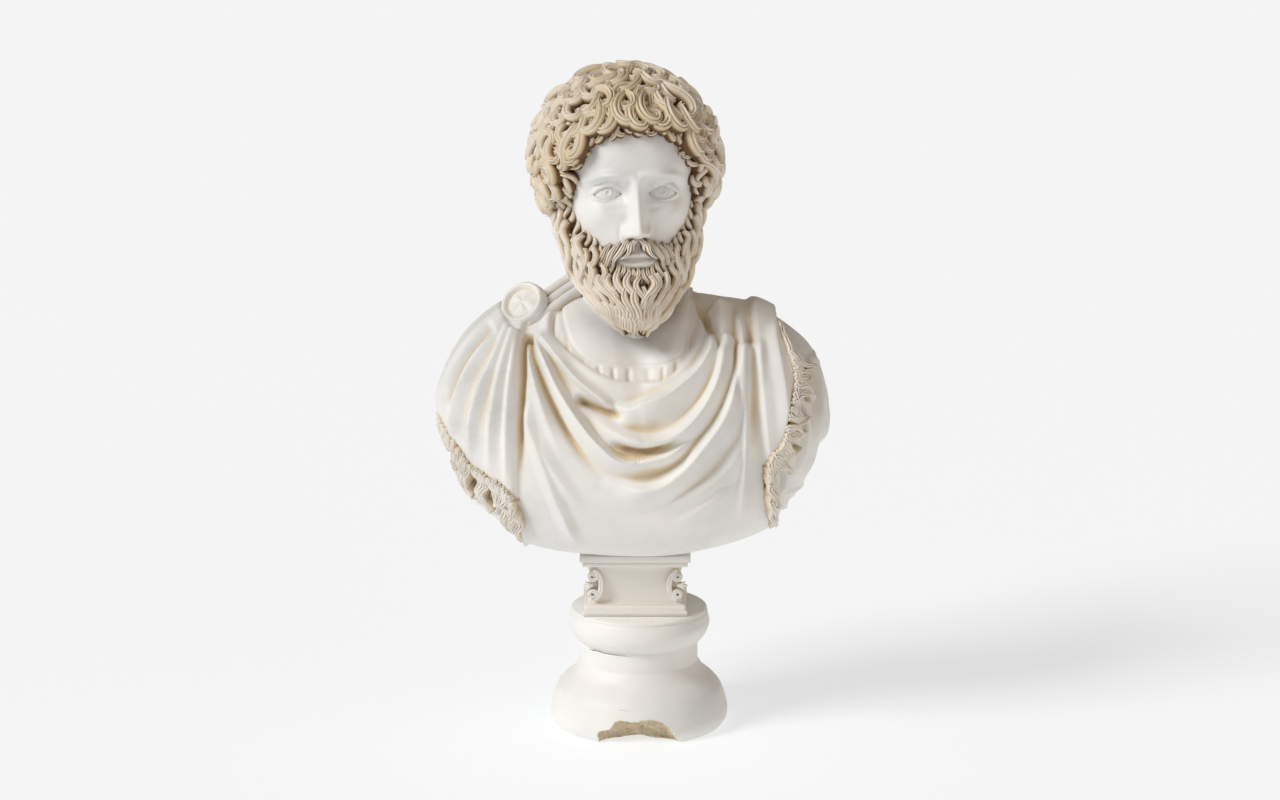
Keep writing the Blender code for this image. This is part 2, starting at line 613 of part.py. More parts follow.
def add_beard(stone):
    stone.add(beard_shell())
    row = 0
    for z in np.arange(-2.0, -137.0, -19.0):
        row += 1
        for k in range(-6, 7):
            azimuth = math.radians(15.5) * (k + 0.5 * (row % 2))
            top = float(table(abs(math.degrees(azimuth)), BEARD_EDGE))
            if abs(azimuth) > BEARD_REACH - 0.1 or z > top - 2:
                continue
            side = 1 if azimuth > 0 else -1
            lean = side * (0.35 if z > -90 else -0.12) * scatter(row, k, 1)
            length = 32 + 10 * scatter(row, k, 2) - max(0, -118 - z) * 0.7
            sway = side * (3 + 2.5 * scatter(row, k, 4))
            stone.add(beard_lock(azimuth, z + 4 * scatter(row, k, 3), length, sway, lean,
                                 units(BEARD_LOCK_WIDTH), units(BEARD_LOCK_HEIGHT),
                                 1 + 3 * scatter(row, k, 5)))
    for side in (-1, 1):
        for k in range(7):
            t = np.linspace(0, 1, 7)
            x = side * (3 + 5 * k + (6 + 2.1 * k) * t)
            z = -53 - 0.8 * k - 2 * (k / 6) ** 2 - (8 + 3.6 * k) * t - (5 + 0.9 * k) * t**2
            y = head_front(x, z) - 1.5 - 2 * np.sin(math.pi * t)
            path = np.stack([x, y, z], 1)
            out = np.stack([0.25 * side * (0.3 + t), -np.ones(7), 0.1 * t], 1)
            stone.add(band(from_head(path), turn_to_head(out), 3.8 * (1 - 0.6 * t**2), 6, 6, 1, LOCK_FACES))
        t = np.linspace(0, 1, 6)
        x = side * (4 + 3 * np.sin(3 * t))
        z = -85 - 15 * t
        path = np.stack([x, head_front(x, z) - 2 - 2 * t, z], 1)
        stone.add(band(from_head(path), turn_to_head(np.tile((0, -1.0, 0), (6, 1))), 3.6, 5, 4))


# Brooch, straps and fringes

BROOCH_PLACE = (-129.0, 284.0)
BROOCH_RADIUS = 0.027
BROOCH_WAY = (-0.42, -0.66, 0.62)
TUFT_HALF_WIDTH = 0.0056


def add_brooch(stone):
    centre, _ = on_torso(BROOCH_PLACE[0], BROOCH_PLACE[1], 9.0)
    way = np.array(BROOCH_WAY) / np.linalg.norm(BROOCH_WAY)
    across = np.cross((0, 0, 1.0), way)
    across /= np.linalg.norm(across)
    over = np.cross(way, across)
    profile = [(0.02, 9), (0.35, 8), (0.62, 4.5), (0.7, 4), (0.8, 7.5), (0.92, 8), (1, 4), (1, -6),
               (0.6, -22)]
    angle = np.linspace(0, 2 * math.pi, 28, endpoint=False)[:, None]
    around = across * np.cos(angle) + over * np.sin(angle)
    grid = np.array([centre + units(BROOCH_RADIUS) * r * around + way * h for r, h in profile])
    stone.add(grid_shell(grid, wrap=True))


def add_straps(stone):
    """Gathered cloth that runs from the brooch over the shoulder to the neck."""
    for rise, width in ((0, 6.5), (10, 6.5), (21, 6.0)):
        x = np.array([-128.0, -112, -96, -82, -70])
        z = np.array([272.0, 280, 289, 297, 303]) + rise * np.array([0.6, 0.75, 0.8, 0.8, 0.8])
        y = np.array([-34.0, -30, -22, -12, -2]) + rise * 1.2
        path = np.stack([x, y, z], 1)
        stone.add(band(path, np.tile((-0.3, -0.75, 0.6), (5, 1)), width, 9, 9))


# Groups of tufts along a fringe: the stretch of the edge that they leave, as shares of its run, their
# common tip, how many, how far they bow out and how far they wave
RIGHT_TUFTS = [
    ((0.10, 0.24), (196, 214), 3, 4, 1.0), ((0.26, 0.42), (192, 174), 3, 5, 1.0),
    ((0.44, 0.58), (184, 136), 3, 4, 1.5), ((0.56, 0.64), (176, 108), 1, 0, 2.0),
    ((0.62, 0.70), (160, 66), 2, 3, 3.5), ((0.70, 0.80), (160, 32), 2, 0, 3.0),
]
LEFT_TUFTS = [
    ((0.10, 0.16), (-223, 128), 2, 0, 1.5), ((0.24, 0.34), (-208, 98), 3, 0, 2.0),
    ((0.36, 0.40), (-192, 74), 1, 8, 1.0), ((0.43, 0.47), (-190, 74), 1, -8, 1.0),
    ((0.49, 0.57), (-170, 62), 3, 0, 2.0), ((0.58, 0.68), (-140, 30), 3, 0, 4.0),
]


def add_fringe(stone, line, groups):
    """Long twisted tufts that hang from the edge of the cloak in groups, each drawn together at its tip."""
    dense = curve(line, 300)
    for number, ((first, last), tip, count, bow, wave) in enumerate(groups):
        for k in range(count):
            share = k / max(count - 1, 1)
            start = dense[int((first + (last - first) * share) * 299)]
            run = np.array(tip) + (2.5 * (share - 0.5), 4 * (share - 0.5)) - start
            length = math.hypot(*run)
            t = np.linspace(-0.08, 1, 9)
            hang = np.clip(t, 0, 1)
            sway = bow * np.sin(math.pi * hang) + wave * np.sin(2 * math.pi * t * length / 38 + number)
            sway = sway * smooth(0, 0.25, t) / length
            path, way = on_torso(start[0] + run[0] * t + run[1] * sway, start[1] + run[1] * t - run[0] * sway,
                                 3 - 5 * smooth(0, 0.4, t) + 2.5 * np.sin(math.pi * hang))
            stone.add(band(path, way, units(TUFT_HALF_WIDTH) * (1.1 - 0.5 * t**2), 8, 13, 1, LOCK_FACES))


# Index tablet

TABLET_PROFILE = [(0, 0), (6.2, 0), (7.2, -2.5), (12.5, -2.5), (14, -6.5), (24, -8), (36, -8.5), (48, -8),
                  (58.5, -6.5), (59.5, 0), (64.5, 0), (65.5, 3.5), (73, 3.5)]


def make_tablet():
    """The tablet the bust stands on, its mouldings, hollowed front and a scroll at either side."""
    half, deep = units(TABLET_WIDTH) / 2, units(TABLET_DEPTH) / 2
    u = np.linspace(-1, 1, 9)
    rows = []
    for z, out in TABLET_PROFILE:
        hollow = 0.45 * units(TABLET_HOLLOW) if 14 <= z <= 59 else 0
        front = [(s * (half + out), -(deep + out) + hollow * (1 - s * s)) for s in u]
        back = [(half + out, deep + out), (-half - out, deep + out)]
        rows.append([(x, y, z) for x, y in front + back])
    rows = np.array(rows) * (1, 1, units(TABLET_HEIGHT) / 73)
    stone = Stone()
    stone.add(grid_shell(rows + (units(TABLET_OFFSET_X), 2, -units(TABLET_HEIGHT)), wrap=True))
    return stone


SCROLL_LINE = [(6, -12), (3, -9), (-1, -12), (1, -18), (8, -20), (14, -13), (16, 0), (14, 13), (8, 20),
               (1, 18), (-1, 12), (3, 9), (6, 12)]


def scroll_shell(side):
    """A C-shaped scroll at one side of the tablet's front, its two ends rolled up outwards."""
    line = curve(SCROLL_LINE, 19)
    x = side * (units(TABLET_WIDTH) / 2 - 3.5 - line[:, 0]) + units(TABLET_OFFSET_X)
    z = line[:, 1] - units(TABLET_HEIGHT) + 36.5
    y = np.full(19, 2 - units(TABLET_DEPTH) / 2 + 6.0)
    path = np.stack([x, y, z], 1)
    return band(path, np.tile((0, -1.0, 0), (19, 1)), units(SCROLL_BAND) / 2, units(SCROLL_RELIEF), 6, 1, 3)


def carve(target, kind, name, **settings):
    step = target.modifiers.new(name, kind)
    for key, value in settings.items():
        setattr(step, key, value)
    return step


def hide_cutter(cutter):
    cutter.hide_render = True
    cutter.display_type = "WIRE"


def marble(name, colour, roughness):
    made = bpy.data.materials.new(name)
    made.use_nodes = True
    shader = made.node_tree.nodes["Principled BSDF"]
    shader.inputs["Base Color"].default_value = colour
    shader.inputs["Roughness"].default_value = roughness
    return made


def carved(name, block, kept):
    """The shells of one block as a single faceted solid."""
    made = block.to_object(name)
    carve(made, "REMESH", "one block", mode="VOXEL", voxel_size=CARVING_GRAIN, adaptivity=0.0)
    carve(made, "DECIMATE", "facets", ratio=kept)
    return made


def make_bust():
    body = Stone()
    body.add(torso_shell(90, 300))
    body.add(neck_shell())
    add_brooch(body)
    add_straps(body)
    add_fringe(body, RIGHT_FRINGE, RIGHT_TUFTS)
    add_fringe(body, LEFT_FRINGE, LEFT_TUFTS)
    body.add(strut_foot())
    bust = carved("bust", body, BODY_KEPT)
    top = Stone()
    top.add(head_shell(90, 120))
    add_eyes(top, 9)
    add_hair(top)
    add_beard(top)
    head = carved("head", top, HEAD_KEPT)
    hide_cutter(head)
    carve(bust, "BOOLEAN", "head", operation="UNION", solver="EXACT", object=head)
    tablet = make_tablet().to_object("tablet")
    hide_cutter(tablet)
    carve(bust, "BOOLEAN", "tablet", operation="UNION", solver="EXACT", object=tablet)
    for side, name in ((-1, "left scroll"), (1, "right scroll")):
        scroll = Stone()
        scroll.add(scroll_shell(side))
        made = scroll.to_object(name)
        hide_cutter(made)
        carve(bust, "BOOLEAN", name, operation="UNION", solver="EXACT", object=made)
    bust.data.materials.append(marble("Marble", MARBLE, MARBLE_ROUGHNESS))
    return bust


# Socle: turned profile, (radius, height) in shares of its own sizes


def socle_profile():
    neck_top = SOCLE_HEIGHT - DISC_HEIGHT
    foot = [(0.955, 0), (1.0, 0.13), (1.0, 0.30), (0.94, 0.60), (0.86, 0.76), (0.74, 0.92)]
    rows = [(FOOT_RADIUS * r, FOOT_HEIGHT * h) for r, h in foot]
    rows += [(NECK_RADIUS, FOOT_HEIGHT + 0.006), (NECK_RADIUS, neck_top)]
    disc = [(0.90, 0.06), (0.965, 0.27), (1.0, 0.52), (0.98, 0.72), (0.965, 1 - RIM_HEIGHT / DISC_HEIGHT),
            (0.93, 1.0)]
    return rows + [(DISC_RADIUS * r, neck_top + DISC_HEIGHT * h) for r, h in disc]


def make_socle():
    angle = np.linspace(0, 2 * math.pi, SOCLE_SIDES, endpoint=False)
    grid = np.array([np.stack([r * np.cos(angle), r * np.sin(angle), 0 * angle + h], 1)
                     for r, h in socle_profile()])
    mesh = bpy.data.meshes.new("socle")
    mesh.from_pydata(*grid_mesh(grid))
    socle = bpy.data.objects.new("socle", mesh)
    bpy.context.scene.collection.objects.link(socle)

    deep = BITE_DEPTH + 0.018
    radii = np.array([BITE_WIDTH * 0.6, deep, BITE_HEIGHT + 0.009])
    centre = np.array([-0.002, -FOOT_RADIUS + BITE_DEPTH - deep + 0.003, -0.008])
    points, faces = turned_outward(*ball((0, 0, 0), (1, 1, 1), 14, 26))
    points = np.array(points)
    rough = 1 + 0.035 * np.sin(9 * points[:, 0] + 5 * points[:, 2])
    rough += 0.03 * np.sin(13 * points[:, 2] + 7 * points[:, 0])
    mesh = bpy.data.meshes.new("bite")
    mesh.from_pydata([tuple(p) for p in points * rough[:, None] * radii + centre], [], faces)
    bite = bpy.data.objects.new("bite", mesh)
    bpy.context.scene.collection.objects.link(bite)
    hide_cutter(bite)
    carve(socle, "BOOLEAN", "bite", operation="DIFFERENCE", solver="EXACT", object=bite)
    socle.data.materials.append(marble("Socle marble", SOCLE_MARBLE, MARBLE_ROUGHNESS))
    return socle


def grid_mesh(grid):
    points, faces = turned_outward(*grid_shell(grid, wrap=True))
    return points, [], faces


if __name__ == "__main__":
    clear_scene()
    make_bust()
    make_socle()
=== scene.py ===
import math
import bpy
import numpy as np
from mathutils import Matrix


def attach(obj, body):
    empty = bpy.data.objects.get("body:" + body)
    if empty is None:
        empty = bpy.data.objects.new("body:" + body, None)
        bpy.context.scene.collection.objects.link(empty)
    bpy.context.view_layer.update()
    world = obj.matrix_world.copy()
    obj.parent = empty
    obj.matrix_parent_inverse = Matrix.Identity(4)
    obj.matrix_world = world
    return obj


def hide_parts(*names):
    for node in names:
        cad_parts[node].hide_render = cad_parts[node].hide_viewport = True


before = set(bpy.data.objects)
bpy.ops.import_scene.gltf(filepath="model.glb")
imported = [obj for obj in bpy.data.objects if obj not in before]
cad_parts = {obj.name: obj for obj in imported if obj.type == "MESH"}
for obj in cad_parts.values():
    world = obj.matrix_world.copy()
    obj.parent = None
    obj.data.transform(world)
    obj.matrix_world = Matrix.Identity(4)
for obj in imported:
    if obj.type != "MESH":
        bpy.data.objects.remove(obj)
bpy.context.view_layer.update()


# small helpers for curves and shells, all in millimetres with the figure's base at 0

figure = {"unit": 0.001, "baseZ": 0.2143}


def ease(low, high, value):
    t = np.clip((np.asarray(value, float) - low) / (high - low), 0, 1)
    return t * t * (3 - 2 * t)


def bump(distance, width):
    return np.exp(-(np.asarray(distance) / width) ** 2)


def curveThrough(points, count, closed=False):
    points = np.asarray(points, float)
    last = len(points) if closed else len(points) - 1
    t = np.linspace(0, last, count, endpoint=not closed)
    index = np.minimum(t.astype(int), last - 1)
    f = (t - index)[:, None]

    def at(k):
        return points[k % len(points)] if closed else points[np.clip(k, 0, len(points) - 1)]

    a, b, c, d = at(index - 1), at(index), at(index + 1), at(index + 2)
    return 0.5 * (2 * b + (c - a) * f + (2 * a - 5 * b + 4 * c - d) * f**2
                  + (3 * b - a - 3 * c + d) * f**3)


def readRows(value, rows, column=1):
    dense = curveThrough([(row[0], row[column]) for row in rows], 16 * len(rows))
    return np.interp(value, dense[:, 0], dense[:, 1])


def unitOf(v):
    return v / (np.linalg.norm(v, axis=-1)[..., None] + 1e-12)


def scatter(*seed):
    # a number between 0 and 1 that is always the same for the same seed
    return math.sin(sum((i + 1.7) * 12.9898 * (k + 1) for k, i in enumerate(seed))) * 43758.5453 % 1


def fullTurn(count):
    return np.linspace(0, 2 * math.pi, count, endpoint=False)


def newObject(name, data):
    made = bpy.data.objects.new(name, data)
    bpy.context.scene.collection.objects.link(made)
    return made


def newMesh(name, points, faces):
    mesh = bpy.data.meshes.new(name)
    mesh.from_pydata(points, [], faces)
    return mesh


class Carving:
    # gathers the shells of one piece, each point with a "hollow" value from 0 in the open to 1 deep inside,
    # which the finishes paint as patina and painted shade

    def __init__(self):
        self.points, self.faces, self.hollow, self.count = [], [], [], 0

    def addGrid(self, grid, hollow=0.0, fans=(True, True)):
        # the grid's rows close on themselves, and fans close its first and last row
        rows, columns = grid.shape[:2]
        points = grid.reshape(-1, 3)
        i, j = np.meshgrid(np.arange(rows - 1) * columns, np.arange(columns), indexing="ij")
        k = (j + 1) % columns
        faces = np.stack([i + j, i + k, i + columns + k, i + columns + j], -1).reshape(-1, 4).tolist()
        values = np.broadcast_to(hollow, (rows, columns)).reshape(-1)
        for row, flip, wanted in ((0, True, fans[0]), (rows - 1, False, fans[1])):
            if wanted:
                centre = len(points)
                points = np.vstack([points, grid[row].mean(0)])
                values = np.append(values, values[row * columns])
                for j in range(columns):
                    a, b = row * columns + j, row * columns + (j + 1) % columns
                    faces.append([b, a, centre] if flip else [a, b, centre])
        corner = points - points.mean(0)
        a, b, c = np.moveaxis(corner[[face[:3] for face in faces]], 1, 0)
        if np.sum(a * np.cross(b, c)) < 0:
            faces = [face[::-1] for face in faces]
        self.points.append(points)
        self.hollow.append(values)
        self.faces += [[i + self.count for i in face] for face in faces]
        self.count += len(points)

    def addBand(self, path, up, halfWidth, height, sink, strands=1, across=9, groove=0.5, shade=1.0,
                deepest=1.0):
        # a lock, tuft or strap: domed above in side by side strands, flat below
        path, up = np.asarray(path, float), np.asarray(up, float)
        run = unitOf(np.gradient(path, axis=0))
        side = unitOf(np.cross(run, up))[:, None]
        up = np.cross(side[:, 0], run)[:, None]
        halfWidth, height = (np.broadcast_to(v, len(path))[:, None, None] for v in (halfWidth, height))
        u = np.linspace(-1, 1, across)
        dome = np.clip(1 - u**2, 0, 1) ** 0.42
        lines = abs(np.sin(strands * math.pi * (u + 1) / 2)) ** 0.7 if strands > 1 else np.ones(across)
        crest = dome * (1 - groove + groove * lines)
        top = path[:, None] + side * halfWidth * u[:, None] + up * height * crest[:, None]
        low = np.array([0.75, -0.75])
        under = path[:, None] + side * halfWidth * low[:, None] - up * sink
        # painted shade: the grooves between strands and the flat underside get high hollow values, painted
        # cream and brown; shade scales it and deepest caps it
        hollow = np.minimum(np.append(1 - crest, [1.0, 1.0]) * shade, deepest)
        self.addGrid(np.concatenate([top, under], 1), hollow)

    def toPiece(self, name, material, node="bust", figureUnits=True):
        points = np.vstack(self.points)
        if figureUnits:
            points = points * figure["unit"] + (0, 0, figure["baseZ"])
        mesh = newMesh(name, points.tolist(), self.faces)
        layer = mesh.attributes.new("hollow", "FLOAT", "POINT")
        layer.data.foreach_set("value", np.clip(np.concatenate(self.hollow), 0, 1).astype(np.float32))
        mesh.polygons.foreach_set("use_smooth", [True] * len(mesh.polygons))
        mesh.materials.append(material)
        piece = newObject(name, mesh)
        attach(piece, "root")
        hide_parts(node)
        print("made", name, sum(len(face) - 2 for face in self.faces), "triangles, from",
              points.min(0).round(4), "to", points.max(0).round(4))
        return piece


# shader maths: one class wraps a socket so that masks and colours read as expressions


class Socket:
    def __init__(self, tree, socket):
        self.tree, self.socket = tree, socket

    def maths(self, operation, other, flip=False):
        pair = (other, self) if flip else (self, other)
        return self.tree.node("ShaderNodeMath", {"operation": operation}, {0: pair[0], 1: pair[1]})

    def __add__(self, other): return self.maths("ADD", other)
    def __radd__(self, other): return self.maths("ADD", other, True)
    def __sub__(self, other): return self.maths("SUBTRACT", other)
    def __rsub__(self, other): return self.maths("SUBTRACT", other, True)
    def __mul__(self, other): return self.maths("MULTIPLY", other)
    def __rmul__(self, other): return self.maths("MULTIPLY", other, True)

    def clamped(self):
        return self.tree.node("ShaderNodeClamp", {}, {"Value": self})

    def between(self, low, high):
        return self.tree.node("ShaderNodeMapRange", {"interpolation_type": "SMOOTHSTEP"},
                              {"Value": self, "From Min": low, "From Max": high})


class Finish:
    # one material and its nodes

    def __init__(self, name, **fixed):
        self.material = bpy.data.materials.new(name)
        self.material.use_nodes = True
        self.nodes = self.material.node_tree.nodes
        self.links = self.material.node_tree.links
        self.shader = self.nodes["Principled BSDF"]
        for key, value in fixed.items():
            self.shader.inputs[key].default_value = value

    def node(self, kind, settings, sockets, output=0):
        made = self.nodes.new(kind)
        for key, value in settings.items():
            setattr(made, key, value)
        for key, value in sockets.items():
            self.plug(made.inputs[key], value)
        return Socket(self, made.outputs[output])

    def plug(self, socket, value):
        if isinstance(value, Socket):
            self.links.new(value.socket, socket)
        else:
            socket.default_value = value

    def feed(self, name, value):
        self.plug(self.shader.inputs[name], value)

    def place(self):
        return self.node("ShaderNodeTexCoord", {}, {}, "Object")

    def noise(self, scale, detail=4.0, rough=0.55, warp=0.0):
        return self.node("ShaderNodeTexNoise", {}, {
            "Vector": self.place(), "Scale": scale, "Detail": detail, "Roughness": rough,
            "Distortion": warp})

    def attribute(self, name):
        return self.node("ShaderNodeAttribute", {"attribute_name": name}, {}, "Fac")

    def mix(self, amount, first, second, blend="MIX"):
        return self.node("ShaderNodeMix", {"data_type": "RGBA", "blend_type": blend},
                         {0: amount, 6: first, 7: second}, 2)

    def bumped(self, height, strength, distance):
        return self.node("ShaderNodeBump", {}, {
            "Height": height, "Strength": strength, "Distance": distance})


def rgb(red, green, blue):
    # 0 to 255 as seen, to the linear values that nodes use
    return tuple(((c / 255 + 0.055) / 1.055) ** 2.4 for c in (red, green, blue)) + (1.0,)


# cream is the warm patina that also stands as painted shade in recesses; channel and drilled are painted
# shade, the brown of the deepest undercuts and drill holes, with patina
marble = {
    "open": rgb(240, 238, 232), "cool": rgb(230, 231, 231), "vein": rgb(206, 205, 202),
    "cream": rgb(224, 207, 177), "hair": rgb(217, 192, 147), "channel": rgb(150, 118, 78),
    "drilled": rgb(104, 76, 44), "veinScale": 5.0, "veinSharpness": 14, "grain": 900.0, "roughness": 0.46,
}


def marbleFinish(name, wash, cream, channel, tone=marble["cream"], deep=marble["channel"]):
    # wash is how much cream lies everywhere, as on the drilled hair
    finish = Finish(name, **{"Specular IOR Level": 0.4})
    hollow = finish.attribute("hollow")
    cloudy = finish.noise(7.0, 5.0)
    fine = finish.noise(60.0, 4.0)
    vein = (finish.noise(marble["veinScale"], 6.0, 0.6, 1.6) - 0.5) * marble["veinSharpness"]
    vein = 1 - vein.maths("ABSOLUTE", 0).clamped()
    base = finish.mix(cloudy.between(0.35, 0.7), marble["open"], marble["cool"])
    base = finish.mix(vein * 0.35 * cloudy.between(0.4, 0.7), base, marble["vein"])
    # painted shade with patina: the hollow value, with grain, lays cream into recesses and the deep brown
    # into the deepest of them
    shadeAndPatina = hollow + (fine - 0.5) * 0.16
    creamPatinaAndShade = (shadeAndPatina.between(*cream) * (1 - wash) + wash * cloudy.between(0.15, 0.75)).clamped()
    base = finish.mix(creamPatinaAndShade, base, tone)
    base = finish.mix(shadeAndPatina.between(*channel), base, deep)
    finish.feed("Base Color", base)
    finish.feed("Roughness", marble["roughness"] + (fine - 0.5) * 0.12 + hollow * 0.2)
    grain = finish.noise(marble["grain"], 2.0) * 0.3 + fine * 0.7
    finish.feed("Normal", finish.bumped(grain, 0.12, 0.0006))
    return finish.material


clothMarble = marbleFinish("polished drapery marble", 0.06, (0.1, 0.7), (0.75, 1.4))

skinMarble = marbleFinish("polished skin marble", 0.0, (0.3, 1.0), (0.8, 1.4))

hairMarble = marbleFinish("drilled hair marble", 0.68, (0.1, 0.45), (0.34, 0.85), marble["hair"],
                          marble["drilled"])

beardMarble = marbleFinish("drilled beard marble", 0.52, (0.1, 0.45), (0.36, 0.9), marble["hair"],
                           marble["drilled"])

fringeMarble = marbleFinish("fringe marble", 0.45, (0.1, 0.5), (0.5, 1.0))
print("finishes made")


# draped torso

torso = {
    "centre": (0.0, 130.0), "chestFront": -117.5, "backDepth": 86.0, "shell": 46.0, "rimShare": 0.925,
    "strutHalf": 34.0, "strutBack": 40.0, "hollowTop": 196.0, "strutX": -4.5,
    "sheetStep": 8.0, "tunicPleat": 18.0, "foldDepth": 1.25, "foldSink": 4.0,
    # the strut's foot: height, half width, front, back
    "footRows": [(-4, 44, -44, 44), (7, 46, -46, 44), (15, 46, -58, 42), (44, 29, -62, 33)],
    "rings": 150, "spokes": 580,
}

outline = [
    (0, 284), (-40, 300), (-75, 306), (-108, 297), (-140, 284), (-167, 270), (-190, 254), (-206, 234),
    (-217, 212), (-223, 190), (-228, 168), (-231, 148), (-226, 126), (-217, 103), (-210, 80), (-200, 59),
    (-183, 41), (-159, 27), (-131, 15), (-93, 8), (-54, 5), (-18, 3), (22, 3), (53, 6), (86, 12),
    (121, 20), (152, 31), (175, 44), (190, 65), (202, 93), (211, 120), (222, 147), (225, 172),
    (220, 198), (212, 222), (200, 243), (182, 260), (160, 274), (136, 286), (110, 291), (84, 297),
    (56, 311), (28, 300),
]

# lines of the cloth seen from the front, each in the order it runs
neckline = [(-58, 334), (-78, 308), (-98, 288), (-101, 272), (-90, 259), (-69, 244), (-44, 229), (-16, 221),
            (12, 221), (37, 226), (58, 250), (69, 279), (68, 299), (52, 330)]
tunicEdge = [(-92, 300), (-78, 262), (-58, 245), (-39, 242), (-10, 239), (18, 240), (41, 246), (54, 258),
             (60, 300)]
leftFlap = [(-124, 305), (-132, 268), (-136, 249), (-139, 213), (-141, 163), (-142, 104), (-140, 62),
            (-132, 31), (-124, -20)]
rightFlap = [(124, 310), (130, 283), (133, 254), (137, 219), (141, 175), (146, 127), (153, 77), (158, 47),
             (166, -10)]
rightFringe = [(150, 300), (160, 266), (175, 230), (176, 204), (170, 182), (165, 152), (157, 138),
               (150, 128), (147, 104), (151, 66), (157, 30), (166, -10)]
leftFringe = [(-262, 190), (-232, 168), (-218, 152), (-207, 140), (-193, 119), (-180, 110), (-167, 101),
              (-154, 92), (-143, 78), (-139, 50), (-133, 20), (-126, -15)]

# line, height, width right and left of its run, how soon it fades at either end
folds = [
    ([(-150, 276), (-177, 257), (-198, 233), (-214, 201), (-225, 163)], 8, 9, 12, 0.05, 0.18),
    ([(-148, 272), (-172, 248), (-193, 216), (-205, 180), (-211, 138)], 8, 8, 10, 0.05, 0.2),
    ([(-145, 268), (-160, 240), (-177, 206), (-188, 165), (-192, 120)], 8, 8, 10, 0.05, 0.3),
    ([(-140, 266), (-152, 236), (-161, 200), (-168, 150), (-170, 96)], 8, 8, 11, 0.05, 0.4),
    ([(-136, 266), (-143, 236), (-148, 190), (-150, 130), (-150, 70)], 5, 6, 6, 0.05, 0.4),
    ([(-128, 262), (-124, 236), (-115, 204), (-101, 165), (-84, 128)], 7, 9, 8, 0.05, 0.6),
    ([(-124, 269), (-107, 239), (-90, 208), (-69, 178), (-44, 150), (-19, 132), (13, 134), (37, 142),
      (58, 159), (76, 186)], 14, 22, 9, 0.1, 0.25),
    ([(-118, 268), (-96, 246), (-72, 222), (-44, 201), (-31, 189)], 8, 7, 12, 0.1, 0.2),
    ([(84, 290), (85, 266), (75, 241), (56, 221), (26, 204), (-5, 191), (-36, 186)],
     15, 11, 30, 0.02, 0.25),
    ([(97, 270), (91, 231), (78, 200), (57, 174), (33, 158), (7, 155), (-27, 164), (-56, 180)],
     16, 12, 28, 0.05, 0.25),
    ([(118, 262), (111, 220), (96, 181), (77, 154), (51, 123), (26, 104), (1, 98), (-19, 100), (-44, 109)],
     14, 13, 34, 0.05, 0.3),
    ([(121, 160), (103, 123), (75, 99), (41, 83), (10, 72)], 7, 14, 26, 0.2, 0.5),
    ([(110, 108), (87, 86), (64, 68), (38, 52)], 4, 12, 18, 0.3, 0.4),
    ([(-135, 197), (-126, 167), (-114, 135), (-98, 88), (-83, 54), (-69, 18)], 5, 14, 12, 0.2, 0.2),
    ([(-124, 165), (-107, 131), (-84, 96), (-65, 71)], 4, 12, 14, 0.3, 0.4),
    ([(112, 292), (117, 265), (120, 220), (121, 176), (120, 117), (118, 40)], 8, 7, 8, 0.2, 0.3),
    ([(150, 272), (160, 227), (166, 184), (168, 137)], 5, 13, 9, 0.1, 0.4),
    ([(58, 318), (77, 292), (84, 268), (82, 246)], 8, 10, 8, 0.3, 0.3),
    ([(201, 236), (208, 206), (209, 172), (202, 128), (189, 78)], 8, 7, 7, 0.1, 0.2),
    ([(208, 196), (217, 176), (217, 150), (209, 122)], 6, 5, 6, 0.1, 0.3),
    ([(188, 186), (196, 160), (193, 128), (182, 88)], 7, 6, 7, 0.2, 0.3),
    ([(160, 124), (170, 112), (172, 92), (168, 76)], 5, 6, 7, 0.2, 0.3),
    ([(-196, 84), (-178, 74), (-162, 62)], 5, 6, 7, 0.2, 0.2),
]

# drilled channels: line, depth, width, how soon it fades at either end
channels = [
    ([(-127, 267), (-119, 242), (-103, 204), (-84, 164), (-61, 130), (-32, 101)], 11, 4.5, 0.05, 0.5),
    ([(-131, 262), (-131, 240), (-134, 205), (-136, 160), (-136, 110)], 7, 4.0, 0.03, 0.3),
    ([(-74, 203), (-53, 193), (-31, 185), (-14, 181)], 13, 5.0, 0.2, 0.4),
    ([(-34, 153), (-14, 145), (8, 143), (38, 152), (52, 166)], 11, 4.5, 0.3, 0.4),
    ([(66, 312), (76, 290), (86, 268), (95, 246)], 16, 6.0, 0.1, 0.4),
    ([(-160, 262), (-184, 240), (-203, 208), (-216, 172)], 5, 3.5, 0.1, 0.2),
    ([(106, 286), (110, 250), (112, 205), (110, 170)], 4, 4.0, 0.3, 0.4),
    ([(127, 280), (128, 240), (131, 190), (135, 140)], 3, 4.0, 0.3, 0.4),
    ([(-197, 100), (-195, 88), (-191, 76)], 6, 5.0, 0.3, 0.4),
    ([(-172, 90), (-172, 78), (-169, 66)], 6, 5.0, 0.3, 0.4),
]


def outlineReach(angle):
    loop = curveThrough(outline, 900, closed=True) - np.array(torso["centre"])
    angles, reach = np.arctan2(loop[:, 1], loop[:, 0]), np.hypot(loop[:, 0], loop[:, 1])
    order = np.argsort(angles)
    return np.interp(angle, angles[order], reach[order], period=2 * math.pi)


def torsoEdge(angle):
    low = ease(0.2, 0.95, -np.sin(angle))
    high = ease(0.2, 0.9, np.sin(angle))
    return 4 - 50 * low + 12 * high, 2.5 + 0.3 * low - 0.4 * high


def torsoShare(x, z):
    # bearing from the torso's middle, and the share of the way to its outline
    dx, dz = x - torso["centre"][0], z - torso["centre"][1]
    angle = np.arctan2(dz, dx)
    return angle, np.minimum(np.hypot(dx, dz) / outlineReach(angle), 1)


def torsoFront(x, z):
    angle, share = torsoShare(x, z)
    edge, square = torsoEdge(angle)
    return torso["chestFront"] + (edge - torso["chestFront"]) * (1 - (1 - share**square) ** (1 / square))


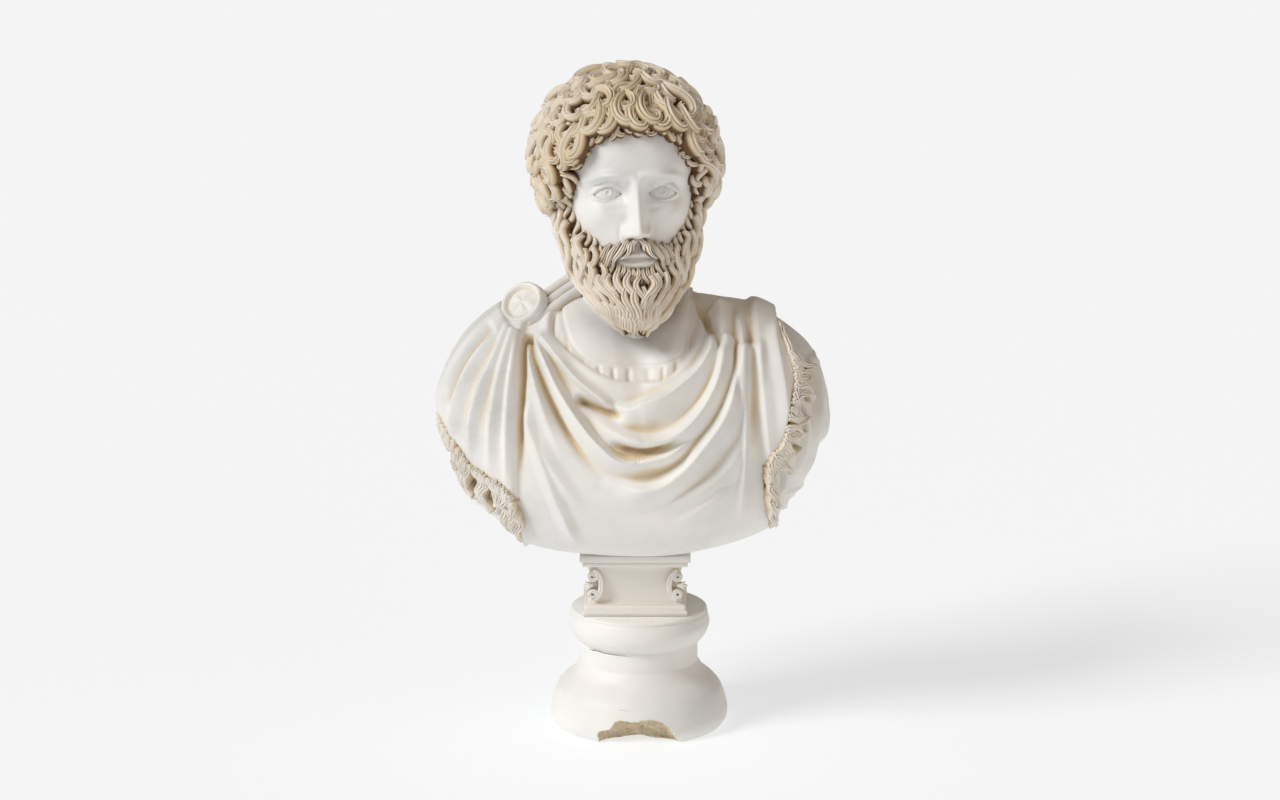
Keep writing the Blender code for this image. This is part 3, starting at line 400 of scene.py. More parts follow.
def torsoBack(x, z, share, edge):
    # hollowed below, with a strut left standing and a rim of sound marble around it
    (cx, cz), rim = torso["centre"], torso["rimShare"]
    whole = torso["backDepth"] + (edge - torso["backDepth"]) * (1 - (1 - share**2.6) ** (1 / 2.6))
    strut = ease(torso["strutHalf"] + 16, torso["strutHalf"] - 4, abs(x - torso["strutX"]))
    lower = ease(torso["hollowTop"] + 22, torso["hollowTop"] - 22, z + 0.12 * abs(x))
    shell = torsoFront(cx + (x - cx) / rim, cz + (z - cz) / rim) + torso["shell"]
    strutDepth = torso["strutBack"] + (whole - torso["strutBack"]) * ease(60, torso["hollowTop"], z)
    carved = shell + (strutDepth - shell) * strut
    return np.minimum(whole + (carved - whole) * lower, np.maximum(whole, edge))


def gapTo(x, z, line):
    # distance from a drawn line, positive on the left of its run, and the share of the way along it
    line = curveThrough(line, 7 * len(line))
    best = np.full(np.shape(x), 1e9)
    gap, along = best.copy(), 0 * best
    for i in range(len(line) - 1):
        run = line[i + 1] - line[i]
        fx, fz = x - line[i, 0], z - line[i, 1]
        t = np.clip((fx * run[0] + fz * run[1]) / (run @ run), 0, 1)
        fx, fz = fx - t * run[0], fz - t * run[1]
        distance = np.hypot(fx, fz)
        nearer = distance < best
        best = np.where(nearer, distance, best)
        gap = np.where(nearer, np.where(run[0] * fz - run[1] * fx < 0, -distance, distance), gap)
        along = np.where(nearer, (i + t) / (len(line) - 1), along)
    return gap, along


def fadeEnds(along, start, end):
    return ease(0, start, along) * ease(1, 1 - end, along)


def drapery(x, z):
    height = 0 * x
    for line, rise, right, left, start, end in folds:
        gap, along = gapTo(x, z, line)
        t = np.clip(1 - abs(gap) / np.where(gap < 0, right, left), 0, 1)
        crest = 0.5 * t * t * (3 - 2 * t) + 0.5 * t**1.6
        height = np.maximum(height, rise * fadeEnds(along, start, end) * crest)
    for line, depth, width, start, end in channels:
        gap, along = gapTo(x, z, line)
        height = height - depth * fadeEnds(along, start, end) * bump(gap, width)

    height = height * torso["foldDepth"] - torso["foldSink"] * (1 - torsoShare(x, z)[1] ** 8)

    collar = gapTo(x, z, neckline)[0]
    skin = gapTo(x, z, tunicEdge)[0]
    pleats = 2.6 * (1 - abs(np.cos(math.pi * (x + 10) / torso["tunicPleat"])) ** 7)
    tunic = pleats - 8.5 - pleats * ease(-7, -2, skin) + 1.5 * bump(skin + 3, 2.5)
    tunic = tunic + (-5 - tunic) * ease(-1.5, 1.5, skin)
    cloth = height + 3 * bump(collar + 5, 5)
    relief = cloth + (tunic - cloth) * ease(-2, 2, collar)

    step = torso["sheetStep"]
    relief += step * ease(3, -3, gapTo(x, z, leftFlap)[0]) + step * ease(-3, 3, gapTo(x, z, rightFlap)[0])
    underRight = ease(-2.5, 2.5, gapTo(x, z, rightFringe)[0])
    underLeft = ease(2.5, -2.5, gapTo(x, z, leftFringe)[0])
    relief -= (step + 4) * (underRight + underLeft)
    hem = z + 0.25 * (x + 170)   # the left sleeve's hem rises to the side
    sleeve = underRight * ease(74, 71, z) * (4 + 1.6 * np.cos(x * 0.55))
    sleeve += underLeft * ease(53, 50, hem) * (4 + 0.6 * np.cos(x * 0.4))
    return relief - sleeve + 1.6 * (underRight * bump(z - 75.5, 2.2) + underLeft * bump(hem - 54, 2))


def softened(grid, times):
    for _ in range(times):
        around = (np.roll(grid, 1, 1) + np.roll(grid, -1, 1)) / 2
        inner = around.copy()
        inner[1:-1] = around[1:-1] / 2 + (grid[2:] + grid[:-2]) / 4
        grid = inner
    return grid


def makeTorso():
    rings, spokes = torso["rings"], torso["spokes"]
    angle = np.linspace(2 * math.pi, 0, spokes, endpoint=False)
    reach = outlineReach(angle)
    edge, _ = torsoEdge(angle)
    share = np.sin(np.linspace(0.004, 1, rings) * math.pi / 2) ** 0.8
    front = share[:, None] * np.ones(spokes)
    backShare = np.linspace(1, 0.004, rings // 3)[1:] ** 0.9
    back = backShare[:, None] * np.ones(spokes)
    both = np.vstack([front, back])
    x = torso["centre"][0] + both * reach * np.cos(angle)
    z = torso["centre"][1] + both * reach * np.sin(angle)
    y = np.vstack([torsoFront(x[:rings], z[:rings]), torsoBack(x[rings:], z[rings:], back, edge)])
    grid = np.stack([x, y, z], 2)
    along = np.roll(grid, -1, 1) - np.roll(grid, 1, 1)
    normal = unitOf(np.cross(along, np.gradient(grid, axis=0)))
    relief = np.zeros(x.shape)
    relief[:rings] = drapery(x[:rings], z[:rings])
    rim = relief[rings - 1]
    even = softened(np.tile(rim, (3, 1)), 120)[1]
    start = 0.9 - 0.35 * ease(0.2, 0.9, np.sin(angle)) - 0.22 * ease(5, 14, -even)
    inward = ease(1, 0.95, back)
    relief[rings:] = (rim + (even - rim) * inward) * ease(start, 1, back)
    # painted shade with patina: where the cloth sinks below its softened self, in folds and undercuts, it
    # is painted cream and brown
    hollow = (softened(relief, 60) - relief) / 9
    hollow[rings:] *= 1 - inward
    grid = grid + normal * relief[..., None]
    wrapRows = rings + 5
    front, back = Carving(), Carving()
    front.addGrid(grid[:wrapRows], hollow[:wrapRows], fans=(True, False))
    back.addGrid(grid[wrapRows - 1:, ::2] - normal[wrapRows - 1:, ::2] * 0.05, hollow[wrapRows - 1:, ::2],
                 fans=(False, True))
    front.toPiece("draped_chest", clothMarble)
    back.toPiece("hollowed_back", clothMarble)


makeTorso()


def squareLoop(count):
    # round the square from -1 to 1, front side first
    u = np.linspace(-1, 1, count)
    return ([(s, -1) for s in u] + [(1, s) for s in u[1:]] + [(-s, 1) for s in u[1:]]
            + [(-1, -s) for s in u[1:-1]])


def makeStrutFoot():
    # block at the foot of the strut, through which the torso stands on its tablet
    carving = Carving()
    grid = []
    for z, half, front, back in curveThrough(torso["footRows"], 14):
        middle, deep = (front + back) / 2, (back - front) / 2
        grid.append([(half * a + torso["strutX"], middle + deep * b, z) for a, b in squareLoop(13)])
    carving.addGrid(np.array(grid), 0.1)
    carving.toPiece("strut_foot", clothMarble)


makeStrutFoot()


def onTorso(x, z, lift):
    x, z = np.asarray(x, float), np.asarray(z, float)
    y = torsoFront(x, z)
    slopeX = (torsoFront(x + 2, z) - torsoFront(x - 2, z)) / 4
    slopeZ = (torsoFront(x, z + 2) - torsoFront(x, z - 2)) / 4
    way = unitOf(np.stack([slopeX, -np.ones(x.shape), slopeZ], -1))
    return np.stack([x, y, z], -1) + way * np.asarray(lift)[..., None], way


# head and neck

head = {
    "place": (-14.0, -8.0, 427.0), "yaw": math.radians(8), "tilt": math.radians(-4.5),
    "rings": 205, "spokes": 300,
    "eyePlace": (31.5, -59.0, 0.0), "eyeRadii": (18.5, 14.5, 15.5), "iris": 6.2, "pupil": 2.4,
    "lidReach": 16.5, "upperLid": 9.8, "lowerLid": -7.0, "lidDrop": -0.8, "square": 2.3,
    # the lids' edges: height, thickness, reach to the side
    "lids": ((10.6, 2.1, 17.6), (-7.5, 1.5, 16.6)),
    # neck: height, middle across and in depth, half width, half depth
    "neck": [(200, -4, 6, 98, 68), (225, -5, 8, 84, 68), (250, -6, 12, 70, 66), (275, -8, 11, 62, 62),
             (300, -9, 8, 58, 61), (330, -12, 5, 57, 62), (365, -12, 5, 55, 62)],
}

# height, front, back, half width
skull = [
    (-125, -58, -24, 7), (-116, -73, 0, 29), (-100, -79, 30, 46), (-80, -80, 52, 57), (-60, -81, 66, 63),
    (-40, -82, 80, 68), (-20, -83, 90, 72), (0, -84, 95, 75), (30, -89, 98, 78), (50, -86, 97, 76),
    (70, -79, 92, 70), (90, -64, 80, 60), (105, -40, 62, 44), (116, 4, 16, 5),
]
noseRidge = [(-56, 0), (-50.5, 3), (-47.5, 17), (-43.5, 25), (-39, 26), (-33, 22.5), (-18, 16),
             (0, 9.5), (12, 6), (26, 0)]
noseWidth = [(-57, 10.5), (-43.5, 10), (-33, 8), (-18, 7.2), (0, 6.4), (26, 9)]


def fromHead(local):
    x, y, z = np.moveaxis(np.asarray(local, float), -1, 0)
    c, s = math.cos(head["tilt"]), math.sin(head["tilt"])
    y, z = c * y - s * z, s * y + c * z
    c, s = math.cos(head["yaw"]), math.sin(head["yaw"])
    x, y = c * x - s * y, s * x + c * y
    return np.stack([x, y, z], -1) + np.array(head["place"])


def turnToHead(way):
    return fromHead(way) - np.array(head["place"])


def mound(x, z, wide, high):
    return np.exp(-(x / wide) ** 2 - (z / high) ** 2)


def faceRelief(x, z):
    side = abs(x)
    nose = readRows(z, noseRidge) * np.exp(-(side / readRows(z, noseWidth)) ** 2.6)
    relief = np.maximum(nose, 0) + 9 * mound(side - 12.5, z + 43.5, 5, 6.5)
    relief -= 2.4 * mound(side - 19, z + 43.5, 2.6, 8) + 6 * mound(side - 6.5, z + 49.5, 3.2, 2.4)
    relief += 7.5 * mound(side - 28, z - 23 + 0.007 * (side - 24) ** 2, 24, 5)
    relief -= 11 * mound(side - 31, z - 2, 18, 12) + 6 * mound(side - 15.5, z - 4, 6, 10)
    relief -= 2.2 * bump(z - 15.5 + 0.03 * (side - 30) ** 2, 1.5) * ease(19, 12, abs(side - 31))
    relief += 5 * mound(side - 46, z + 22, 18, 14) - 4 * mound(side - 42, z + 56, 16, 18)
    relief -= 2.2 * mound(side - 24, z + 16, 12, 3.5)
    relief += 8 * mound(x, z + 71, 27, 20) + 7 * mound(x, z + 107, 19, 13)
    relief -= 1.8 * mound(x, z + 58.5, 3, 5)
    relief += 4.6 * mound(side - 6, z + 67.5, 10, 3.2) + 6.5 * mound(x, z + 78, 15, 4.8)
    relief -= 5.0 * mound(x, z + 72, 23, 1.8) + 3.5 * mound(x, z + 87, 17, 5)
    return relief


def headFront(x, z):
    front, back, half = (readRows(z, skull, k) for k in (1, 2, 3))
    middle, square = (front + back) / 2, head["square"]
    plain = middle - (middle - front) * np.clip(1 - abs(x / half) ** square, 0, 1) ** (1 / square)
    return plain - faceRelief(x, z)


def ballGrid(rings, spokes):
    polar = np.linspace(0.02, math.pi - 0.02, rings)[:, None]
    angle = fullTurn(spokes)
    return np.stack(np.broadcast_arrays(np.sin(polar) * np.cos(angle), np.sin(polar) * np.sin(angle),
                                        np.cos(polar)), -1)


def eyeball(dx, z, grow=0.0):
    # depth of the ball's front, or of a larger one around it
    rx, ry, rz = (r + grow for r in head["eyeRadii"])
    inside = 1 - (dx / rx) ** 2 - (z / rz) ** 2
    return head["eyePlace"][1] - ry * np.sqrt(np.maximum(inside, 0)) + 200 * np.maximum(-inside, 0)


def lidLine(dx, rise):
    return rise * np.clip(1 - (dx / head["lidReach"]) ** 2, 0, 1) ** 0.8 + head["lidDrop"]


def setEyes(x, z, y):
    # lids swell over the ball and open in an almond
    dx = abs(x) - head["eyePlace"][0]
    y = np.minimum(y, eyeball(dx, z, 2.0))
    margin = np.minimum(lidLine(dx, head["upperLid"]) - z, z - lidLine(dx, head["lowerLid"]))
    opened = ease(-0.4, 0.4, margin) * (abs(dx) < head["lidReach"])
    return y + (np.maximum(y, eyeball(dx, z) + 1.2) - y) * opened


def makeHead():
    carving = Carving()
    rings, spokes = head["rings"], head["spokes"]
    z = np.linspace(skull[0][0], skull[-1][0], rings)[:, None]
    angle = fullTurn(spokes)[None, :]
    angle = angle - 0.6 * np.sin(angle)   # more points on the face than on the back
    front, back, half = (readRows(z, skull, k) for k in (1, 2, 3))
    middle, power = (front + back) / 2, 2 / head["square"]
    c, s = np.cos(angle), np.sin(angle)
    x = half * np.sign(s) * abs(s) ** power
    plain = middle + np.where(c > 0, front - middle, middle - back) * np.sign(c) * abs(c) ** power
    y = plain - faceRelief(x, z) * ease(0, 0.4, c)
    y = np.where(c > 0, setEyes(x, z, y), y)
    grid = np.stack(np.broadcast_arrays(x, y, z), -1)
    relief = np.broadcast_to(plain - y, grid.shape[:2])
    # painted shade with patina: the face's recesses are painted cream, the deepest brown
    hollow = np.maximum((softened(relief, 40) - relief) / 12, 0) * (c > 0.3)
    carving.addGrid(fromHead(grid), hollow)

    for side in (-1, 1):
        centre = np.array(head["eyePlace"]) * (side, 1, 1)
        ball = ballGrid(76, 90)
        ball = ball[..., [0, 2, 1]] * (1, -1, 1) * np.array(head["eyeRadii"])   # dense pole in front
        ring = np.hypot(ball[..., 0] + 0.4 * side, ball[..., 2] - 2.2)
        facing = ball[..., 1] < 0
        cut = 0.8 * bump(ring - head["iris"], 0.6)
        cut = cut + 1.8 * ease(head["pupil"] + 0.5, head["pupil"] - 0.5, ring)
        ball = ball * (1 - (cut * facing / 14)[..., None])
        # painted shade: the carved iris ring and pupil are painted darker
        carving.addGrid(fromHead(ball + centre), cut * facing * 0.5)
        for rise, thick, reach in head["lids"]:
            t = np.linspace(-1, 1, 34)
            lidZ = lidLine(head["lidReach"] * t, rise)
            lidY = eyeball(reach * t, lidZ, 1.5)
            path = np.stack([side * (head["eyePlace"][0] + reach * t), lidY, lidZ], 1)
            out = np.stack([0.25 * side * t, -np.ones(34), 0.2 * np.sign(rise) + 0 * t], 1)
            carving.addBand(fromHead(path), turnToHead(out), thick * (1 - 0.4 * t**4), thick * 0.8,
                            3, 1, 11, shade=0.45)

    angle = fullTurn(160)
    z = np.linspace(200, 365, 80)[:, None]
    cx, cy, rx, ry = (readRows(z, head["neck"], k) for k in (1, 2, 3, 4))
    fromFront = (angle + 2.5 * math.pi) % (2 * math.pi) - math.pi
    muscle = 4 * bump(abs(fromFront) - 0.30 - 0.9 * ease(235, 360, z), 0.22)
    muscle = muscle - 5 * mound(fromFront, z - 243, 0.2, 13)
    x, y = cx + (rx + muscle) * np.cos(angle), cy + (ry + muscle) * np.sin(angle)
    # painted shade: cream on the neck's top under the beard and on its right side, away from the key light
    shade = 0.3 + 0.35 * ease(250, 330, z) + 0.3 * np.cos(angle)
    carving.addGrid(np.stack([x, y, z + 0 * angle], -1), shade)
    carving.toPiece("head_and_neck", skinMarble)


makeHead()


# hair: a thick cap under drilled curls

hair = {
    "centre": (0.0, 8.0, 28.0), "radii": (101.0, 112.0, 108.0), "meanRadius": 106.0,
    "spacing": 21.5, "underSpacing": 16.5,
    "halfWidth": 6.3, "height": 12.5, "length": 60.0,
    "sections": 22, "across": 13,
}

hairline = [(0, 76), (18, 74), (34, 60), (50, 27), (62, -6), (90, -32), (120, -46), (150, -56), (180, -58)]


def capPoint(way, lift=0.0):
    return np.array(hair["centre"]) + (np.array(hair["radii"]) + np.asarray(lift)[..., None]) * way


def hairlinePolar(azimuth):
    z = readRows(abs(np.degrees(azimuth)), hairline)
    return np.arccos(np.clip((z - hair["centre"][2]) / hair["radii"][2], -1, 1))


def capWay(azimuth, polar):
    return np.stack(np.broadcast_arrays(np.sin(polar) * np.sin(azimuth), -np.sin(polar) * np.cos(azimuth),
                                        np.cos(polar)), -1)


def addCurl(carving, way, heading, turn, length, width, height, lift, strands, fine=1.0):
    # turn is how the heading changes along the curl: at once, growing, and rolled up at its end
    down = -unitOf(np.cross(np.cross(way, (0, 0, 1.0)), way))
    across = np.cross(down, way)
    sections = int(hair["sections"] * fine)
    t = np.linspace(0, 1, sections)
    bearing = heading + turn[0] * t + turn[1] * t**2 + turn[2] * t**5
    a, b = np.cumsum(np.cos(bearing)), np.cumsum(np.sin(bearing))
    step = length / (sections - 1)
    a, b = (a - a.mean()) * step, (b - b.mean()) * step
    ways = unitOf(way + (a[:, None] * down + b[:, None] * across) / hair["meanRadius"])
    path = capPoint(ways, lift - 4 + 7 * np.sin(math.pi * t**0.8) - 1.5 * t**3)
    taper = 1 - 0.6 * t**3
    carving.addBand(fromHead(path), turnToHead(ways / np.array(hair["radii"])),
                    width * taper * (0.6 + 0.4 * ease(0, 0.25, t)), height * (0.6 + 0.4 * taper),
                    9, strands, hair["across"] if strands > 2 else 9, 0.42)


def strewCurls(carving, spacing, edge, seed, shape):
    # curls spread evenly over the cap; shape makes each curl's heading, turn, size, lift and strands
    total = int(4 * math.pi * hair["meanRadius"] ** 2 / (spacing**2 * 0.9))
    for i in range(total):
        polar = math.acos(1 - 2 * (i + 0.5) / total)
        azimuth = (i * 2.399963 + seed) % (2 * math.pi) - math.pi
        if polar > hairlinePolar(azimuth) - edge:
            continue
        forward = math.copysign(ease(0.5, 1.3, abs(azimuth)) * ease(0.5, 1.2, polar), azimuth)
        numbers = [scatter(i, seed + k) for k in range(5)]
        heading, turn, size, lift, strands = shape(numbers, float(forward))
        lift -= 5 * float(ease(0.72, 1, polar / hairlinePolar(azimuth))) + 4 * float(ease(1.1, 0.4, polar))
        addCurl(carving, capWay(azimuth, polar), heading, turn, hair["length"] * size[0],
                hair["halfWidth"] * size[1], hair["height"] * size[2], lift, strands,
                1.0 if strands > 2 else 0.6)


def underCurl(numbers, forward):
    hand = 1 if numbers[0] > 0.5 else -1
    return ((numbers[1] - 0.5) * 2.6 + forward, (hand * 2.2, -hand * 3.4, 2.5 * hand),
            (0.6 + 0.2 * numbers[2], 0.72, 0.75), -6.5, 2)


def mainCurl(numbers, forward):
    # rolled hooks, wide hooks and a few S-shaped locks, at uneven heights
    hand = 1 if numbers[0] > 0.5 else -1
    kinds = [((hand * 1.2, hand * 3.6, hand * 2.6), 0.95), ((hand * 0.4, hand * 3.2, hand * 1.6), 0.85),
             ((hand * 3.6, -hand * 6.0, -hand * 2.4), 1.1)]
    turn, long = kinds[min(int(numbers[1] * 3), 2)]
    size = 0.85 + 0.35 * numbers[2]
    heading = (numbers[3] - 0.5) * 2.4 - hand * 0.9 + 1.1 * forward
    return heading, turn, (long * size, size, 0.85 + 0.2 * size), -6.5 + 7.5 * numbers[4], 3


def makeHair():
    carving = Carving()
    azimuth = np.linspace(-math.pi, math.pi, 180, endpoint=False)
    share = np.linspace(0.02, 1, 60)[:, None]
    polar = share * hairlinePolar(azimuth)
    grid = capPoint(capWay(azimuth, polar), -6 - 15 * ease(0.8, 1, share) * np.ones(180))
    inner = grid[-1:] * (0.72, 0.72, 1)
    # painted shade: the cap between the curls is painted dark brown, lighter at its edge
    depth = np.vstack([0.75 - 0.35 * ease(0.9, 1, share) + 0 * azimuth, np.full((1, 180), 0.4)])
    carving.addGrid(fromHead(np.concatenate([grid, inner])), depth)
    strewCurls(carving, hair["underSpacing"], 0.06, 11, underCurl)
    carving.toPiece("hair_under_curls", hairMarble)

    carving = Carving()
    strewCurls(carving, hair["spacing"], 0.15, 3, mainCurl)
    carving.toPiece("hair_curls", hairMarble)

    carving = Carving()
    for k in range(-9, 10):
        azimuth = math.radians(10.5 * k + 3 * (scatter(k, 31) - 0.5))
        polar = hairlinePolar(azimuth) - 0.11 - 0.07 * (k % 2) - 0.03 * scatter(k, 32)
        hand = 1 if k < -1 or k in (2, 5) else -1
        low = abs(k) > 4
        forward = math.copysign(0.9 * low, k)
        roll = 1.4 + 1.6 * scatter(k, 33)
        long, wide = (0.8, 0.85) if low else (1.0 + 0.15 * (k % 2), 1.15)
        addCurl(carving, capWay(azimuth, polar), forward - 0.6 * hand,
                (hand * 0.8, hand * 3.2, hand * roll), hair["length"] * long, hair["halfWidth"] * wide,
                hair["height"], -3.0 - 3 * low + 2 * (k % 2), 3)
    for k in range(-26, 27):
        azimuth = math.radians(7.0 * k)
        polar = hairlinePolar(azimuth) - 0.02 - 0.035 * (k % 2)
        hand = 1 if scatter(k, 34) > 0.5 else -1
        front = abs(k) < 7
        addCurl(carving, capWay(azimuth, polar), 0.5 * hand + (0 if front else math.copysign(0.8, k)),
                (-hand * 2.2, hand * 1.0, -hand * 3.0), 24 if front else 34 + 8 * scatter(k, 35), 4.2, 8,
                -12.0 if front else -13.0, 2, 0.6)
    carving.toPiece("hair_front_curls", hairMarble)


makeHair()


# beard and moustache

beard = {
    "reach": math.radians(100), "halfWidth": 4.9, "height": 9.5, "rowStep": 14.5, "columnStep": 10.2,
    "sections": 14, "across": 11,
}

# height, front, half width and middle of the mass that the locks lie on
beardMass = [
    (-152, -72, 9, -52), (-144, -84, 22, -50), (-130, -92, 36, -44), (-115, -95, 47, -36),
    (-100, -94, 57, -28), (-80, -89, 66, -18), (-60, -85, 72, -10), (-30, -80, 78, -2), (20, -72, 80, 4),
]
beardEdge = [(0, -88), (12, -87), (22, -80), (32, -67), (42, -54), (56, -34), (72, -8), (88, 12), (105, 14)]


def beardPoint(azimuth, z, lift=0.0):
    front, half, middle = (readRows(z, beardMass, k) for k in (1, 2, 3))
    x = (half + lift) * np.sin(azimuth)
    y = middle - (middle - front + lift) * np.cos(azimuth)
    return np.stack(np.broadcast_arrays(x, y, z), -1)


def addBeardLock(carving, azimuth, z, length, sway, lean, lift, size=1.0):
    t = np.linspace(0, 1, beard["sections"])
    bearing = azimuth + (lean * length * t + sway * np.sin(2 * math.pi * t) * (1 - 0.3 * t)) / 70
    lift = lift + 3.0 * np.sin(math.pi * t) - 2.5 * (1 - t) + 1.5 * t**2
    path = beardPoint(bearing, z - length * t, lift)
    away = path - beardPoint(bearing, z - length * t, -20)
    taper = 1 - 0.82 * t**2.0
    carving.addBand(fromHead(path), turnToHead(away),
                    size * beard["halfWidth"] * taper * (0.6 + 0.4 * ease(0, 0.3, t)),
                    beard["height"] * (0.25 + 0.75 * taper) * size, 8, 2, beard["across"], 0.4)


def makeBeard():
    carving = Carving()
    azimuth = np.linspace(-beard["reach"], beard["reach"], 121)
    top = readRows(abs(np.degrees(azimuth)), beardEdge)
    share = np.linspace(0, 1, 60)[:, None]
    z = top + (beardMass[0][0] + 6 - top) * share
    outer = beardPoint(azimuth, z, -9 + 7 * ease(0, 0.15, share) + 0 * z)
    inner = outer * (0.72, 1, 1) + (0, 22, 0)
    # painted shade: the mass under the beard's locks is painted brown, less at its top edge
    depth = np.tile(0.3 + 0.45 * ease(0.02, 0.14, share), (1, 242))
    carving.addGrid(fromHead(np.concatenate([outer, inner[:, ::-1]], 1)), depth)
    row = 0
    for z in np.arange(8.0, -141.0, -beard["rowStep"]):
        row += 1
        swing = 1 if row % 4 < 2 else -1
        for k in range(-10, 11):
            column = k + 0.5 * (row % 2) + 0.35 * (scatter(row, k, 8) - 0.5)
            azimuth = math.radians(beard["columnStep"]) * column
            top = float(readRows(abs(math.degrees(azimuth)), beardEdge))
            if abs(azimuth) > beard["reach"] - 0.08 or z > top - 2:
                continue
            side = 1 if azimuth > 0 else -1
            lean = side * (0.3 if z > -90 else -0.16) * (0.4 + 0.8 * scatter(row, k, 1))
            length = 30 + 12 * scatter(row, k, 2) - max(0, -118 - z) * 0.7
            wave = side * swing * (3.4 + 2.6 * scatter(row, k, 4))
            addBeardLock(carving, azimuth, z + 5 * scatter(row, k, 3), length, wave, lean,
                         -1.5 + 5.5 * scatter(row, k, 5), 0.85 + 0.4 * scatter(row, k, 6))
    for k in range(-19, 20):
        azimuth = math.radians(5.0 * k)
        top = float(readRows(abs(5.0 * k), beardEdge))
        side = 1 if k > 0 else -1
        addBeardLock(carving, azimuth, top + 1 + 4 * scatter(k, 21), 19 + 8 * scatter(k, 22), -side * 2.0,
                     side * 0.5, -5.5 + 2.5 * scatter(k, 23), 0.72)
    for side in (-1, 1):
        for k in range(8):
            t = np.linspace(0, 1, 16)
            x = side * (3 + 4.4 * k + (6 + 1.8 * k) * t + 2.0 * t * np.sin(6 * t + 1.3 * k))
            z = -52 - 0.6 * k - 2 * (k % 2) - (8 + 3.1 * k) * t - (5 + 0.8 * k) * t**2
            y = headFront(x, z) + 0.5 - 3.6 * (k % 2) - 4.5 * np.sin(math.pi * t)
            out = np.stack([0.25 * side * (0.3 + t), -np.ones(16), 0.1 * t], 1)
            carving.addBand(fromHead(np.stack([x, y, z], 1)), turnToHead(out),
                            3.5 * (1 - 0.85 * t**3) * (0.5 + 0.5 * ease(0, 0.35, t)), 7.5, 8, 2)
        for k in range(3):
            t = np.linspace(0, 1, 12)
            x = side * (2 + 3.4 * k + (2 + 1.5 * k) * np.sin(3 * t))
            z = -85 - 1.5 * k - (16 - 2 * k) * t
            path = np.stack([x, headFront(x, z) - 1.5 - 2 * t, z], 1)
            out = np.tile((0, -1.0, 0), (12, 1))
            carving.addBand(fromHead(path), turnToHead(out), 2.7 * (1 - 0.4 * t), 4.5, 4)
    carving.toPiece("beard_and_moustache", beardMarble)


makeBeard()


# brooch, gathered straps and fringes

brooch = {
    "place": (-129.0, 284.0), "radius": 27.0, "way": (-0.42, -0.66, 0.62), "creases": 5,
    # share of the radius, height
    "profile": [(0.02, 7.5), (0.25, 7.2), (0.5, 5.5), (0.66, 4), (0.72, 5), (0.79, 8), (0.88, 9),
                (0.97, 6.5), (1, 2), (1, -6), (0.6, -22)],
    # straps: how far up the shoulder, half width
    "straps": ((0, 6.5), (10, 6.5), (21, 6.0)),
}
tuft = {"halfWidth": 3.9, "height": 7.5, "sections": 22, "deepest": 0.66}


def makeBrooch():
    carving = Carving()
    centre, _ = onTorso(brooch["place"][0], brooch["place"][1], 9.0)
    way = unitOf(np.array(brooch["way"]))
    across = unitOf(np.cross((0, 0, 1.0), way))
    over = np.cross(way, across)
    profile = curveThrough(brooch["profile"], 80)
    angle = fullTurn(120)[:, None]
    around = across * np.cos(angle) + over * np.sin(angle)
    crease = 0.9 * np.sin(math.pi * np.clip(profile[:, 0] / 0.66, 0, 1))
    crease = crease * np.sin(brooch["creases"] * angle + 1)
    grid = np.array([centre + brooch["radius"] * r * around + way * (h + crease[:, i:i + 1])
                     for i, (r, h) in enumerate(profile)])
    # painted shade: a darker ring in the dish between the brooch's dome and its rolled rim
    shade = bump(profile[:, 0] - 0.67, 0.05)[:, None] * 0.6 + 0 * angle.T
    carving.addGrid(grid, shade)
    for rise, width in brooch["straps"]:
        x = np.array([-128.0, -112, -96, -82, -70])
        z = np.array([272.0, 280, 289, 297, 303]) + rise * np.array([0.6, 0.75, 0.8, 0.8, 0.8])
        y = np.array([-34.0, -30, -22, -12, -2]) + rise * 1.2
        path = curveThrough(np.stack([x, y, z], 1), 24)
        carving.addBand(path, np.tile((-0.3, -0.75, 0.6), (24, 1)), width, 9, 9, 1, 13, shade=0.9)
    carving.toPiece("brooch_and_straps", clothMarble)


# groups of tufts: where they leave the edge (share of its run), tip, count, how far they bow, wave
rightTufts = [
    ((0.10, 0.24), (196, 214), 6, 4, 1.4), ((0.12, 0.20), (204, 222), 3, 4, 1.4),
    ((0.22, 0.32), (200, 190), 4, -4, 1.6), ((0.26, 0.42), (192, 172), 6, 5, 1.6),
    ((0.38, 0.50), (190, 154), 4, -3, 1.8), ((0.44, 0.58), (184, 134), 6, 4, 2.0),
    ((0.56, 0.64), (174, 106), 3, 0, 2.0), ((0.60, 0.70), (160, 66), 4, 3, 3.5),
    ((0.70, 0.80), (156, 36), 3, 0, 3.0),
]
leftTufts = [
    ((0.13, 0.19), (-219, 125), 4, 0, 1.5), ((0.20, 0.34), (-208, 96), 5, 0, 2.4),
    ((0.33, 0.39), (-192, 72), 3, 8, 1.4), ((0.42, 0.47), (-189, 72), 3, -8, 1.4),
    ((0.47, 0.53), (-170, 60), 3, 7, 2.0), ((0.55, 0.60), (-166, 60), 3, -6, 2.0),
    ((0.58, 0.68), (-142, 34), 4, 4, 4.0), ((0.64, 0.74), (-135, 22), 4, 0, 4.0),
]


